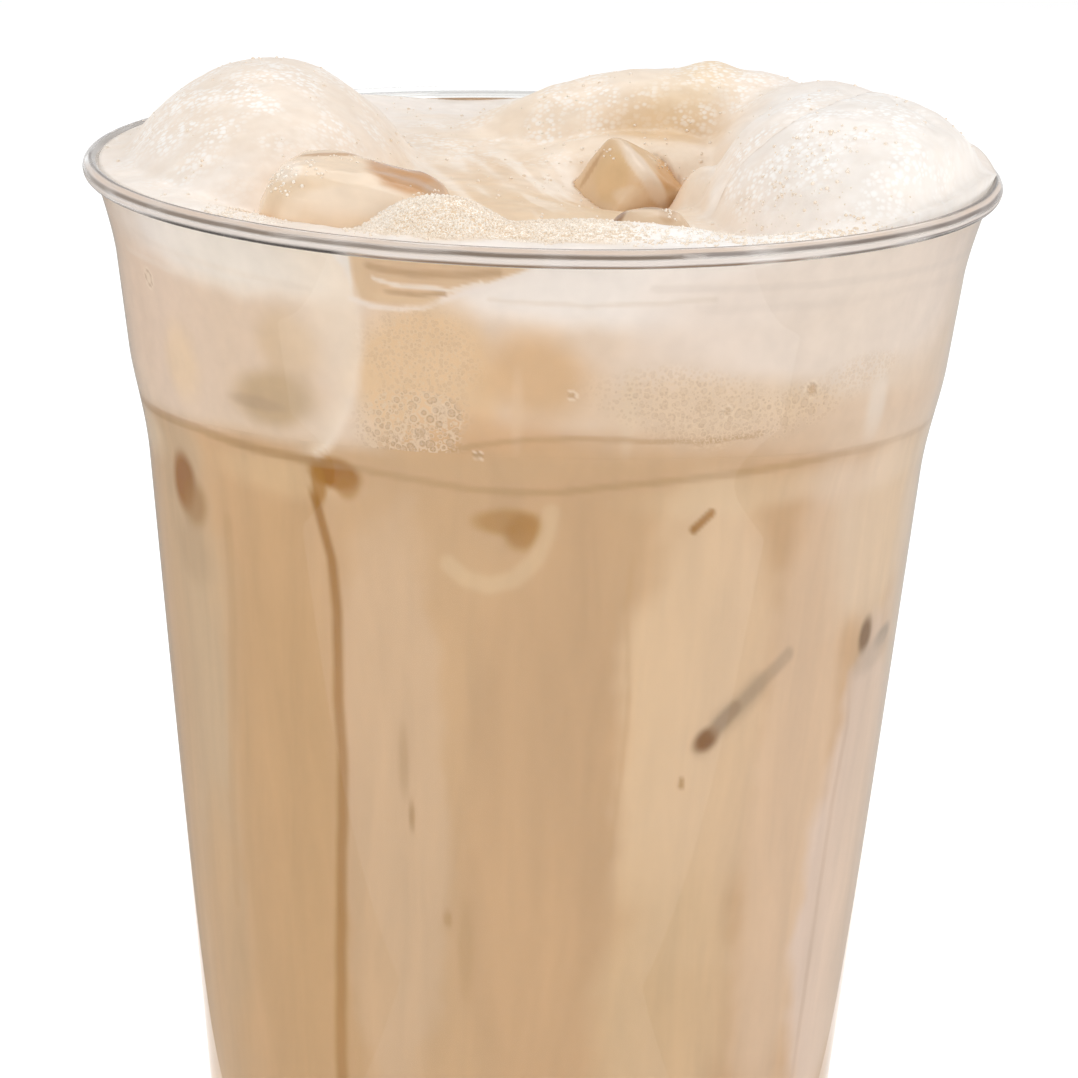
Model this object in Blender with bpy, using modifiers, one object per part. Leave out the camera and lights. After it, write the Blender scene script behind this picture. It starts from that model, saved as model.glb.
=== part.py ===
# Iced chai latte in a clear plastic cup, as solids in metres with +Z up.
# The origin is the middle of the cup's base, -Y is the front and +X is to the right.
import math
import random

import bmesh
import bpy

mm = 0.001

# Cup: a turned sheet with a straight taper, a stacking shoulder and a rolled rim
cupHeight = 135 * mm
sheet = 0.6 * mm
lowerRadius = 31.5 * mm
lowerTaper = 0.0993
upperTaper = 0.137
shoulderHeight = cupHeight - 26 * mm
shoulderStep = 0.9 * mm
shoulderLength = 12 * mm
curlOuterRadius = 49 * mm
curlHalfWidth = 0.95 * mm
curlHalfHeight = 1.05 * mm
curlEnd = math.radians(-90)
neckFlare = 1.1 * mm
neckDepth = 10 * mm
heelRadius = 2 * mm
footInnerRadius = 27 * mm
footSlope = 1.5 * mm
panelRise = 4 * mm
turnSteps = 64

# Contents: drink up to the shoulder, foam from there to over the rim
gap = 0.3 * mm
drinkDepth = 22 * mm
drinkDip = 2.6 * mm
topRings = 17
foamSideTop = 2.4 * mm

# Mounds of the foam: middle x and y, half-widths x and y, top over the rim,
# sharpness of the shoulder, drop to the edge, turn in degrees
mounds = {
    "left": (-29.8, 4, 15.2, 27, 9.0, 2.2, 9.4, 0),
    "right": (32.8, -9, 15.3, 24, 8.8, 3.2, 9.2, 8),
    "back": (17.6, 27, 25.3, 12, 6.0, 2.2, 6.3, 0),
    "backRight": (30.9, 14, 12.3, 18, 6.6, 2.4, 6.5, 0),
    "peak": (18.5, 29, 4.5, 6, 6.4, 2.0, 3.0, 0),
    "frontStrip": (4, -36, 24, 7.5, 0.3, 2.2, 3.0, 0),
    "stripLeft": (-10.2, -36, 8.5, 6, 2.5, 2.4, 4.6, -6),
    "middle": (11, 13, 12, 9, 0.9, 2.4, 3.0, 0),
}
valleyDepth = 3.2
valleySlope = 0.045
valleyFront = -25
collarDepth = 0.3
collarDrop = 3.2
collarRadius = 44.5
collarWidth = 9
dipMiddle = (-8, 45)
dipWidth = 13
dipDepth = 1.8
pitMiddle = (10, -1)
pitWidth = 8
pitDepth = 3.4
softness = 0.6
edgeRadius = 46.5
edgeWidth = 9
sideEdgeWidth = 1.4

# Ice that shows: middle in mm from the rim's middle, size, turns, corner, seed
iceBlocks = {
    "ice_left": ((-18.8, -27, -3.2), (20, 16, 14), (4, 12, -6), 5.0, 3),
    "ice_middle": ((9.6, 3.5, -4.2), (9, 9, 8.5), (28, 24, 42), 1.2, 5),
    "ice_right": ((11, -26, -4.2), (9, 8, 9), (6, 8, 20), 3.6, 8),
}
cornerWander = 0.03
iceSegments = 3


def clearScene():
    for item in list(bpy.data.objects):
        bpy.data.objects.remove(item, do_unlink=True)


def makeCollection(name):
    group = bpy.data.collections.new(name)
    bpy.context.scene.collection.children.link(group)
    return group


def makeMaterial(name, colour, roughness, alpha=1.0, transmission=0.0):
    material = bpy.data.materials.new(name)
    material.use_nodes = True
    surface = material.node_tree.nodes["Principled BSDF"]
    surface.inputs["Base Color"].default_value = (*colour, 1.0)
    surface.inputs["Roughness"].default_value = roughness
    surface.inputs["Metallic"].default_value = 0.0
    surface.inputs["Alpha"].default_value = alpha
    surface.inputs["Transmission Weight"].default_value = transmission
    return material


def smoothStep(value):
    t = min(1.0, max(0.0, value))
    return t * t * (3 - 2 * t)


def wallRadius(z):
    # outer radius of the cup's wall at a height over the base
    lower = lowerRadius + lowerTaper * z
    atShoulder = lowerRadius + lowerTaper * shoulderHeight + shoulderStep
    upper = atShoulder + upperTaper * (z - shoulderHeight)
    blend = smoothStep((z - shoulderHeight) / shoulderLength + 0.5)
    flare = min(1.0, max(0.0, (z - cupHeight + neckDepth) / (neckDepth - 2 * curlHalfHeight)))
    return lower + (upper - lower) * blend + neckFlare * flare ** 1.5


def contentRadius(z):
    return wallRadius(z) - sheet - gap


def arcPoints(middle, halfWidth, halfHeight, start, end, count):
    points = []
    for step in range(count + 1):
        angle = start + (end - start) * step / count
        points.append((middle[0] + halfWidth * math.cos(angle), middle[1] + halfHeight * math.sin(angle)))
    return points


def wallHeights(low, high):
    # few heights along the straight taper, closer ones round the shoulder and the neck
    start = shoulderHeight - shoulderLength / 2
    bend = [start + shoulderLength * step / 5 for step in range(6)]
    bend += [cupHeight - neckDepth * share for share in (1.0, 0.72, 0.46)]
    heights = [low] + [z for z in bend if low < z < high]
    heights.append(high)
    return heights


def cupProfile():
    curlMiddle = (curlOuterRadius - curlHalfWidth, cupHeight - curlHalfHeight)
    heelMiddle = wallRadius(heelRadius) - heelRadius
    inside = [(0, panelRise + sheet), (footInnerRadius - footSlope, panelRise + sheet)]
    inside.append((footInnerRadius + sheet, sheet))
    inside += arcPoints((heelMiddle, heelRadius), heelRadius - sheet, heelRadius - sheet,
                        -math.pi / 2, -math.pi / 8, 3)
    inside += [(wallRadius(z) - sheet, z) for z in wallHeights(2 * heelRadius, curlMiddle[1] - curlHalfHeight)]
    over = arcPoints(curlMiddle, curlHalfWidth, curlHalfHeight, math.pi, curlEnd, 9)
    under = arcPoints(curlMiddle, curlHalfWidth - sheet, curlHalfHeight - sheet, curlEnd, math.pi, 6)
    outside = [(wallRadius(z), z) for z in reversed(wallHeights(2 * heelRadius, curlMiddle[1] - curlHalfHeight))]
    outside += arcPoints((heelMiddle, heelRadius), heelRadius, heelRadius, -math.pi / 8, -math.pi / 2, 3)
    outside += [(footInnerRadius, 0), (footInnerRadius - footSlope - sheet, panelRise), (0, panelRise)]
    return inside + over + under + outside


def drinkProfile():
    # the top is flat here and takes its waves afterwards
    top = cupHeight - drinkDepth
    heelMiddle = wallRadius(heelRadius) - heelRadius
    heel = heelRadius - sheet - gap
    points = [(contentRadius(top) * ring / 8, top) for ring in range(9)]
    points += [(contentRadius(z), z) for z in reversed(wallHeights(2 * heelRadius, top - 6 * mm))]
    points += arcPoints((heelMiddle, heelRadius), heel, heel, -math.pi / 8, -math.pi / 2, 2)
    points += [(footInnerRadius + sheet + gap, sheet + gap)]
    points += [(footInnerRadius - footSlope + gap, panelRise + sheet + gap), (0, panelRise + sheet + gap)]
    return points


def foamProfile():
    bottom = cupHeight - drinkDepth + gap
    edge = contentRadius(cupHeight - foamSideTop)
    points = [(edge * ring / topRings, cupHeight) for ring in range(topRings + 1)]
    heights = (foamSideTop, neckDepth * 0.46, neckDepth * 0.72, neckDepth, drinkDepth - 5 * mm)
    points += [(contentRadius(cupHeight - depth), cupHeight - depth) for depth in heights]
    points += [(contentRadius(bottom) * ring / 8, bottom) for ring in range(8, -1, -1)]
    return points


def turned(name, profile, group):
    mesh = bpy.data.meshes.new(name)
    vertices = [(radius, 0, z) for radius, z in profile]
    edges = [(step, step + 1) for step in range(len(profile) - 1)]
    mesh.from_pydata(vertices, edges, [])
    item = bpy.data.objects.new(name, mesh)
    group.objects.link(item)
    screw = item.modifiers.new("turn", "SCREW")
    screw.angle = math.tau
    screw.steps = turnSteps
    screw.render_steps = turnSteps
    screw.use_merge_vertices = True
    screw.merge_threshold = 0.01 * mm
    screw.use_smooth_shade = True
    return item


def applied(item):
    # the same object with its modifiers worked into the mesh
    view = bpy.context.evaluated_depsgraph_get()
    mesh = bpy.data.meshes.new_from_object(item.evaluated_get(view))
    work = bmesh.new()
    work.from_mesh(mesh)
    bmesh.ops.remove_doubles(work, verts=work.verts, dist=0.01 * mm)
    work.to_mesh(mesh)
    work.free()
    mesh.name = item.name
    item.modifiers.clear()
    item.data = mesh
    return item


def mound(x, y, middleX, middleY, halfX, halfY, top, sharpness, drop, turn):
    angle = math.radians(turn)
    along = (x - middleX) * math.cos(angle) + (y - middleY) * math.sin(angle)
    across = (y - middleY) * math.cos(angle) - (x - middleX) * math.sin(angle)
    distance = math.hypot(along / halfX, across / halfY)
    return top - drop * distance ** sharpness


def foamHeight(x, y):
    # height of the foam over the rim in mm, at a place in mm from the axis
    radius = math.hypot(x, y)
    dip = dipDepth * math.exp(-(math.hypot(x - dipMiddle[0], y - dipMiddle[1]) / dipWidth) ** 2)
    heights = [valleySlope * (y - valleyFront) - valleyDepth - dip]
    heights.append(-collarDepth - dip - collarDrop * (max(0, collarRadius - radius) / collarWidth) ** 1.5)
    heights += [mound(x, y, *shape) for shape in mounds.values()]
    highest = max(heights)
    height = highest + softness * math.log(sum(math.exp((h - highest) / softness) for h in heights))
    # the mounds come down to the rim, steeply at the left and right
    width = edgeWidth - (edgeWidth - sideEdgeWidth) * smoothStep((abs(x) - 28) / 10)
    fall = smoothStep((radius - edgeRadius + width) / width)
    pit = pitDepth * math.exp(-(math.hypot(x - pitMiddle[0], y - pitMiddle[1]) / pitWidth) ** 2)
    return height - max(0, height) * fall * 0.85 - pit


def drinkTop(x):
    # the drink stands lower towards the left and right than at the front
    return cupHeight - drinkDepth - drinkDip * ((x / mm + 2) / 42) ** 2


def shapeFoam(item):
    bottom = cupHeight - drinkDepth + gap
    for vertex in item.data.vertices:
        place = vertex.co
        if place.z > cupHeight - 0.01 * mm:
            place.z = cupHeight + foamHeight(place.x / mm, place.y / mm) * mm
        elif place.z < bottom + 0.01 * mm:
            lowered = drinkTop(place.x) + gap
            shrink = contentRadius(lowered) / contentRadius(bottom)
            place.xyz = (place.x * shrink, place.y * shrink, lowered)


def shapeDrink(item):
    top = cupHeight - drinkDepth
    for vertex in item.data.vertices:
        place = vertex.co
        if place.z > top - 0.01 * mm:
            lowered = drinkTop(place.x)
            shrink = contentRadius(lowered) / contentRadius(top)
            place.xyz = (place.x * shrink, place.y * shrink, lowered)


def iceBlock(name, group, grow):
    middle, size, turns, corner, seed = iceBlocks[name.removesuffix("_room")]
    draw = random.Random(seed)
    bpy.ops.mesh.primitive_cube_add(size=1)
    item = bpy.context.object
    item.name = name
    item.data.name = name
    for vertex in item.data.vertices:
        for axis in range(3):
            wander = 1 + draw.uniform(-cornerWander, cornerWander)
            vertex.co[axis] *= (size[axis] * wander + 2 * grow) * mm
    item.location = (middle[0] * mm, middle[1] * mm, cupHeight + middle[2] * mm)
    item.rotation_euler = [math.radians(turn) for turn in turns]
    bevel = item.modifiers.new("melted corners", "BEVEL")
    bevel.width = (corner + grow) * mm
    bevel.segments = iceSegments
    bevel.limit_method = "NONE"
    for holder in list(item.users_collection):
        holder.objects.unlink(item)
    group.objects.link(item)
    item.data.shade_smooth()
    return item


def cutAway(item, cutter):
    cutter.hide_render = True
    cutter.display_type = "WIRE"
    boolean = item.modifiers.new("cut round " + cutter.name, "BOOLEAN")
    boolean.operation = "DIFFERENCE"
    boolean.solver = "EXACT"
    boolean.object = cutter


clearScene()
drinkGroup = makeCollection("IcedChaiLatte")
cutterGroup = makeCollection("Cutters")

cup = turned("cup", cupProfile(), drinkGroup)
cup.data.materials.append(makeMaterial("clearPlastic", (0.9, 0.92, 0.92), 0.05, 0.35, 1.0))

chai = applied(turned("chai", drinkProfile(), drinkGroup))
shapeDrink(chai)
chai.data.materials.append(makeMaterial("milkyChai", (0.60, 0.40, 0.22), 0.35))

foam = applied(turned("foam", foamProfile(), drinkGroup))
shapeFoam(foam)
foam.data.materials.append(makeMaterial("milkFoam", (0.88, 0.80, 0.71), 0.6))

iceMaterial = makeMaterial("wetIce", (0.72, 0.55, 0.36), 0.1)
for iceName in iceBlocks:
    block = iceBlock(iceName, drinkGroup, 0)
    block.data.materials.append(iceMaterial)
    room = iceBlock(iceName + "_room", cutterGroup, gap / mm)
    cutAway(foam, room)
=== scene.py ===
# Iced chai latte in a clear cold-drink cup: surfaces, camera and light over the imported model.
# Patterns on the wall are placed by degrees from the front and millimetres below the rim.
import math
import random

import bmesh
import bpy
import numpy as np
from mathutils import Matrix, Vector, noise
from mathutils.bvhtree import BVHTree


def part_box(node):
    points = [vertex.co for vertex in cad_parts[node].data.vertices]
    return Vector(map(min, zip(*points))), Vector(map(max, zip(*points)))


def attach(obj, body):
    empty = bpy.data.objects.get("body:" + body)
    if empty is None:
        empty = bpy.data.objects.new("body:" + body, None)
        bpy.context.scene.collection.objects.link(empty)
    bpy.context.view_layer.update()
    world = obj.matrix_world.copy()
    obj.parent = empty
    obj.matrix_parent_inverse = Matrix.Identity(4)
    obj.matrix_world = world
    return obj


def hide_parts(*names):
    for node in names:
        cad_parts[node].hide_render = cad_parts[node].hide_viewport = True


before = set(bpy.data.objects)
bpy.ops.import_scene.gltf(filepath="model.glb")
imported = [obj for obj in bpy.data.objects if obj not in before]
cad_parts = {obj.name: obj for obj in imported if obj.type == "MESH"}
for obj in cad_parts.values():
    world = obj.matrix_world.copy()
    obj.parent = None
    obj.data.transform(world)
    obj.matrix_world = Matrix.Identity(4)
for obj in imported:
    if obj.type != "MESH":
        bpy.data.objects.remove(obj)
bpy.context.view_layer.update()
print("frame loaded:", sorted(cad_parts))

mm = 0.001
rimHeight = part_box("cup")[1][2]
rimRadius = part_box("cup")[1][0]
middleRadius = 42          # mm, of the wall where foam meets drink
intoWall = 0.15 * mm       # how far what fills the cup reaches into its wall


# Small helpers: sRGB hex to linear, a node with its settings and links, a mesh from arrays

def linear(hexColour):
    channels = [int(hexColour[i:i + 2], 16) / 255 for i in (1, 3, 5)]
    return tuple(c / 12.92 if c <= 0.04045 else ((c + 0.055) / 1.055) ** 2.4 for c in channels)


def addNode(tree, kind, settings=None, inputs=None):
    # inputs maps a socket's name or number to a value or to another node's output
    node = tree.nodes.new(kind)
    for name, value in (settings or {}).items():
        setattr(node, name, value)
    for name, value in (inputs or {}).items():
        socket = node.inputs[name]
        if isinstance(value, bpy.types.NodeSocket):
            tree.links.new(value, socket)
        else:
            socket.default_value = value
    return node


def newMaterial(name):
    material = bpy.data.materials.new(name)
    material.use_nodes = True
    material.node_tree.nodes.clear()
    return material, material.node_tree


def finishMaterial(tree, shader):
    addNode(tree, "ShaderNodeOutputMaterial", inputs={"Surface": shader})


def meshPiece(name, points, faces, smooth=True):
    mesh = bpy.data.meshes.new(name)
    mesh.from_pydata([tuple(p) for p in points], [], [tuple(f) for f in faces])
    mesh.update()
    if smooth:
        mesh.shade_smooth()
    piece = bpy.data.objects.new(name, mesh)
    bpy.context.scene.collection.objects.link(piece)
    return piece


def addColours(piece, name, colours):
    layer = piece.data.color_attributes.new(name, "FLOAT_COLOR", "POINT")
    rgba = np.ones((len(piece.data.vertices), 4), dtype=np.float32)
    rgba[:, :3] = colours
    layer.data.foreach_set("color", rgba.ravel())


def addValues(piece, name, values):
    layer = piece.data.attributes.new(name, "FLOAT", "POINT")
    layer.data.foreach_set("value", np.asarray(values, dtype=np.float32))


def asMesh(source, name):
    # the evaluated object as a plain mesh, with its place in the mesh
    bpy.context.view_layer.update()
    view = bpy.context.evaluated_depsgraph_get()
    mesh = bpy.data.meshes.new_from_object(source.evaluated_get(view))
    mesh.transform(source.matrix_world)
    mesh.name = name
    piece = bpy.data.objects.new(name, mesh)
    bpy.context.scene.collection.objects.link(piece)
    bpy.data.objects.remove(source, do_unlink=True)
    return piece


def smoothStep(t):
    t = np.clip(t, 0, 1)
    return t * t * (3 - 2 * t)


def lay(colours, mask, tone):
    # a colour laid over others as far as the mask says
    mask = mask[:, None]
    return colours * (1 - mask) + np.array(linear(tone)) * mask


def plain(points, tone):
    return np.tile(np.array(linear(tone)), (len(points), 1))


def turnedDistance(x, y, halfX, halfY, turn):
    # distance from the middle of a turned ellipse, 1 at its edge
    angle = math.radians(turn)
    u = (x * math.cos(angle) + y * math.sin(angle)) / halfX
    v = (y * math.cos(angle) - x * math.sin(angle)) / halfY
    return np.hypot(u, v)


def wallPlaces(points):
    # degrees from the front and mm below the rim
    return np.degrees(np.arctan2(points[:, 0], -points[:, 1])), rimHeight / mm - points[:, 2]


def noiseAt(points, size, seed=0.0):
    # smooth noise from -1 to 1, with lumps of about the given size in mm
    shift = Vector((seed * 7.1, seed * 3.7, seed * 5.3))
    return np.array([noise.noise(Vector(p) / size + shift) for p in points])


# The cup's turned form, with the sizes of the solids and a slightly finer curl

cupForm = {
    "sheet": 0.6 * mm,
    "lowerRadius": 31.5 * mm,
    "lowerTaper": 0.0993,
    "upperTaper": 0.137,
    "shoulderDepth": 26 * mm,
    "shoulderStep": 0.9 * mm,
    "shoulderLength": 12 * mm,
    "curlHalfWidth": 0.85 * mm,
    "curlHalfHeight": 1.0 * mm,
    "curlEnd": math.radians(-90),
    "neckFlare": 1.1 * mm,
    "neckDepth": 10 * mm,
    "heel": 2 * mm,
    "footInner": 27 * mm,
    "footSlope": 1.5 * mm,
    "panelRise": 4 * mm,
    "steps": 288,
    "ledgeDepth": 24.9 * mm,   # the stacking ledge, a fine crease inside the shoulder
    "ledge": 0.1 * mm,
    "ledgeWidth": 0.9 * mm,
}


def wallRadius(z):
    form = cupForm
    shoulder = rimHeight - form["shoulderDepth"]
    lower = form["lowerRadius"] + form["lowerTaper"] * z
    top = form["lowerRadius"] + form["lowerTaper"] * shoulder + form["shoulderStep"]
    upper = top + form["upperTaper"] * (z - shoulder)
    blend = smoothStep((z - shoulder) / form["shoulderLength"] + 0.5)
    flare = (z - rimHeight + form["neckDepth"]) / (form["neckDepth"] - 2 * form["curlHalfHeight"])
    return lower + (upper - lower) * blend + form["neckFlare"] * np.clip(flare, 0, 1) ** 1.5


def contentRadius(z):
    # just inside the sheet, so that no air shows between the wall and what fills it
    return wallRadius(z) - cupForm["sheet"] + intoWall


def arc(middle, halfWidth, halfHeight, start, end, count):
    angles = np.linspace(start, end, count)
    return [(middle[0] + halfWidth * math.cos(a), middle[1] + halfHeight * math.sin(a)) for a in angles]


def cupOutline():
    form = cupForm
    sheet = form["sheet"]
    curl = (rimRadius - form["curlHalfWidth"], rimHeight - form["curlHalfHeight"])
    heel = (float(wallRadius(form["heel"])) - form["heel"], form["heel"])
    under = curl[1] - 0.3 * mm
    # rows up the wall, closer together from below the shoulder up
    heights = np.concatenate([np.linspace(2 * form["heel"], rimHeight - 34 * mm, 10),
                              np.linspace(rimHeight - 33 * mm, under, 70)])
    panel = form["panelRise"]
    footTop = form["footInner"] - form["footSlope"]
    halfWidth, halfHeight = form["curlHalfWidth"], form["curlHalfHeight"]
    inside = [(0, panel + sheet), (footTop, panel + sheet), (form["footInner"] + sheet, sheet)]
    inside += arc(heel, form["heel"] - sheet, form["heel"] - sheet, -math.pi / 2, -math.pi / 8, 8)
    for z in heights:
        crease = math.exp(-((rimHeight - z - form["ledgeDepth"]) / form["ledgeWidth"]) ** 2)
        inside.append((float(wallRadius(z)) - sheet + form["ledge"] * crease, z))
    over = arc(curl, halfWidth, halfHeight, math.pi, form["curlEnd"], 44)
    back = arc(curl, halfWidth - sheet, halfHeight - sheet, form["curlEnd"], math.pi, 32)
    outside = [(float(wallRadius(z)), z) for z in heights[::-1]]
    outside += arc(heel, form["heel"], form["heel"], -math.pi / 8, -math.pi / 2, 10)
    outside += [(form["footInner"], 0), (footTop - sheet, panel), (0, panel)]
    return inside + over + back + outside


rimReflectionLines = [
    # painted reflections and shades of the clear curl, as lines round its section: degrees (0 outwards, 90
    # up), half-width, colour, strength everywhere, strength between two places round the rim, those places
    # in degrees from the front
    (54, 24, "#D9C5B5", 0.35, 0.90, -84, 84),
    (19, 15, "#85776B", 0.50, 1.00, -80, -32),
    (18, 14, "#7D6F63", 0.00, 1.00, -32, 18),
    (22, 14, "#7B6F67", 0.00, 1.00, 18, 84),
    (-15, 17, "#D3C8C0", 0.50, 1.00, -80, 84),
    (88, 13, "#6E6058", 0.30, 1.00, -88, -20),
    (88, 14, "#84776D", 0.00, 1.00, -20, 56),
    (90, 20, "#5F5650", 0.00, 1.00, 56, 96),
    (-57, 16, "#8A7C72", 0.40, 0.90, -84, -56),
    (-52, 24, "#2E2622", 0.00, 1.00, -56, -22),
    (-48, 15, "#7A6452", 0.00, 1.00, -22, 34),
    (-46, 16, "#6B6058", 0.00, 1.00, 34, 52),
    (-52, 20, "#4C4540", 0.00, 1.00, 52, 80),
    (-24, 6, "#6F6660", 0.00, 0.90, 48, 84),
    (120, 26, "#A39B94", 0.30, 0.75, -128, -78),
    # a painted white glint at the rim's left end
    (60, 16, "#FFFFFF", 0.00, 1.00, -86, -80),
    (20, 20, "#7C7570", 0.00, 0.80, -92, -84),
]


def rimShading(points):
    # painted reflections and shades: colour and strength of the fine lines that the curl's bends draw in
    # the clear rim
    form = cupForm
    degrees = np.degrees(np.arctan2(points[:, 0], -points[:, 1]))
    across = np.hypot(points[:, 0], points[:, 1]) - (rimRadius - form["curlHalfWidth"]) / mm
    up = points[:, 2] - (rimHeight - form["curlHalfHeight"]) / mm
    across = across * mm / form["curlHalfWidth"]
    up = up * mm / form["curlHalfHeight"]
    onCurl = smoothStep((np.hypot(across, up) - 0.8) / 0.1) * (up > -1.05)
    # the lines wander a little, and come and go
    section = np.degrees(np.arctan2(up, across)) + 5 * noiseAt(points, 6, 40)
    unevenness = 1 + 0.4 * noiseAt(points, 5, 41)
    inFront = smoothStep((130 - np.abs(degrees)) / 20)
    colours = plain(points, "#F4F1EE")
    strength = np.zeros(len(points))
    for middle, halfWidth, tone, everywhere, local, start, end in rimReflectionLines:
        zone = smoothStep((degrees - start) / 6 + 0.5) * smoothStep((end - degrees) / 6 + 0.5)
        amount = np.clip((everywhere + (local - everywhere) * zone) * unevenness, 0, 1)
        mask = smoothStep(1.5 - np.abs(section - middle) / halfWidth) * amount * onCurl * inFront
        colours = lay(colours, mask, tone)
        strength = np.maximum(strength, mask)
    return colours, strength


def makeCup():
    outline = cupOutline()
    mesh = bpy.data.meshes.new("cupOutline")
    mesh.from_pydata([(r, 0, z) for r, z in outline], [(i, i + 1) for i in range(len(outline) - 1)], [])
    guide = bpy.data.objects.new("cupOutline", mesh)
    bpy.context.scene.collection.objects.link(guide)
    screw = guide.modifiers.new("turn", "SCREW")
    screw.steps = screw.render_steps = cupForm["steps"]
    screw.use_merge_vertices = True
    screw.merge_threshold = 0.005 * mm
    piece = asMesh(guide, "clearCup")
    work = bmesh.new()
    work.from_mesh(piece.data)
    bmesh.ops.remove_doubles(work, verts=work.verts, dist=0.005 * mm)
    bmesh.ops.recalc_face_normals(work, faces=work.faces)
    work.to_mesh(piece.data)
    work.free()
    piece.data.shade_smooth()
    piece.data.set_sharp_from_angle(angle=math.radians(35))
    points = np.array([tuple(v.co) for v in piece.data.vertices]) / mm
    colours, strength = rimShading(points)
    addColours(piece, "colour", colours)
    addValues(piece, "lines", strength)
    return piece


# The foam's form: mounds over a sloping valley, as in the solids, with froth on it

foamForm = {
    "mounds": {
        # middle x, y, half-widths x, y, top over the rim, sharpness, drop, turn
        "left": (-29.8, 4, 15.2, 27, 9.0, 2.2, 9.4, 0),
        "right": (32.8, -9, 15.3, 24, 8.8, 3.2, 9.2, 8),
        "back": (17.6, 27, 25.3, 12, 6.0, 2.2, 6.3, 0),
        "backRight": (30.9, 14, 12.3, 18, 6.6, 2.4, 6.5, 0),
        "peak": (18.5, 29, 4.5, 6, 6.4, 2.0, 3.0, 0),
        "frontStrip": (4, -36, 24, 7.5, 0.3, 2.2, 3.0, 0),
        "stripLeft": (-10.2, -36, 8.5, 6, 2.5, 2.4, 4.6, -6),
        "middle": (11, 13, 12, 9, 0.9, 2.4, 3.0, 0),
        "dome": (17.0, -1, 3.4, 4.2, 1.6, 2.4, 4.5, 0),
    },
    "valleyDepth": 3.2,
    "valleySlope": 0.045,
    "valleyFront": -25,
    "collar": (0.3, 3.2, 44.5, 9),     # depth, drop, radius, width against the wall
    "dip": (-8, 45, 13, 1.8),          # middle x, y, width and depth of the low place at the back
    "pit": (10, -1, 8, 3.4),           # the hollow in front of the middle ice
    "softness": 0.6,
    "edge": (46.5, 9, 1.4, 0.85),      # radius, width, width at the sides, share
    "sides": (28, 10),                 # mm from the middle where they begin, and how gradually
    "sideTop": 1.2,                    # mm below the rim, where the side ends and the lip begins
    "crease": ((37.0, -4), (40.2, -13), (40.6, -22), 0.9, 0.55),   # places, half-width, depth
    # where the right mound stands in front of the one behind it: places, drop, reach
    "overlap": (((17.0, -17.2), (19.5, -14.8), (22.4, -15.8), (25, -15.4), (27.5, -13.5), (31, -8.7),
                 (34, -2.8), (36.5, 2.0)), 1.1, 8.0),
    "spill": (90, 16, 1.1, 0.1),      # over the rim: degrees, half-width, reach, height
    "frontPitch": 0.33,                # mm between points at the front
    "backPitch": 1.0,
    "underIce": 2.2,
}


def mound(x, y, middleX, middleY, halfX, halfY, top, sharpness, drop, turn):
    angle = math.radians(turn)
    along = (x - middleX) * math.cos(angle) + (y - middleY) * math.sin(angle)
    across = (y - middleY) * math.cos(angle) - (x - middleX) * math.sin(angle)
    return top - drop * np.hypot(along / halfX, across / halfY) ** sharpness


def routeDistance(x, y, route):
    # distance from a route of straight pieces, all in mm
    nearest = np.full(np.shape(x), 1e3)
    for (startX, startY), (endX, endY) in zip(route, route[1:]):
        alongX, alongY = endX - startX, endY - startY
        share = ((x - startX) * alongX + (y - startY) * alongY) / (alongX ** 2 + alongY ** 2)
        share = np.clip(share, 0, 1)
        nearest = np.minimum(nearest, np.hypot(x - startX - share * alongX, y - startY - share * alongY))
    return nearest


def foamHeight(x, y):
    # height over the rim in mm, at places in mm from the axis
    form = foamForm
    radius = np.hypot(x, y)
    depth, drop, collarRadius, collarWidth = form["collar"]
    dipX, dipY, dipWidth, dipDepth = form["dip"]
    dip = dipDepth * np.exp(-(np.hypot(x - dipX, y - dipY) / dipWidth) ** 2)
    heights = [form["valleySlope"] * (y - form["valleyFront"]) - form["valleyDepth"] - dip]
    heights.append(-depth - dip - drop * (np.maximum(0, collarRadius - radius) / collarWidth) ** 1.5)
    heights += [mound(x, y, *shape) for shape in form["mounds"].values()]
    heights = np.array(heights)
    highest = heights.max(axis=0)
    soft = form["softness"]
    height = highest + soft * np.log(np.exp((heights - highest) / soft).sum(axis=0))
    edgeRadius, edgeWidth, sideWidth, edgeShare = form["edge"]
    sides, blend = form["sides"]
    width = edgeWidth - (edgeWidth - sideWidth) * smoothStep((np.abs(x) - sides) / blend)
    fall = smoothStep((radius - edgeRadius + width) / width)
    height = height - np.maximum(0, height) * fall * edgeShare
    pitX, pitY, pitWidth, pitDepth = form["pit"]
    height = height - pitDepth * np.exp(-(np.hypot(x - pitX, y - pitY) / pitWidth) ** 2)
    *route, halfWidth, depth = form["crease"]
    away = routeDistance(x, y, route)
    height = height - depth * np.exp(-(away / halfWidth) ** 2)
    route, drop, reach = form["overlap"]
    routeX, routeY = zip(*route)
    behind = y - np.interp(x, routeX, routeY)
    there = smoothStep((x - routeX[0]) / 2) * smoothStep((routeX[-1] + 1 - x) / 4)
    return height - drop * there * smoothStep(behind / 0.7) * np.exp(-(np.maximum(0, behind) / reach) ** 2)


def foamDepth(x):
    # how far foam reaches down at the wall, in mm
    return 22 + 2.6 * ((x + 2) / middleRadius) ** 2


def drinkTop(x):
    # where foam meets drink, in metres; x in mm
    return rimHeight - foamDepth(x) * mm


# Colour fields: soft spots laid over one another, as the drink and the foam show them

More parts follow.
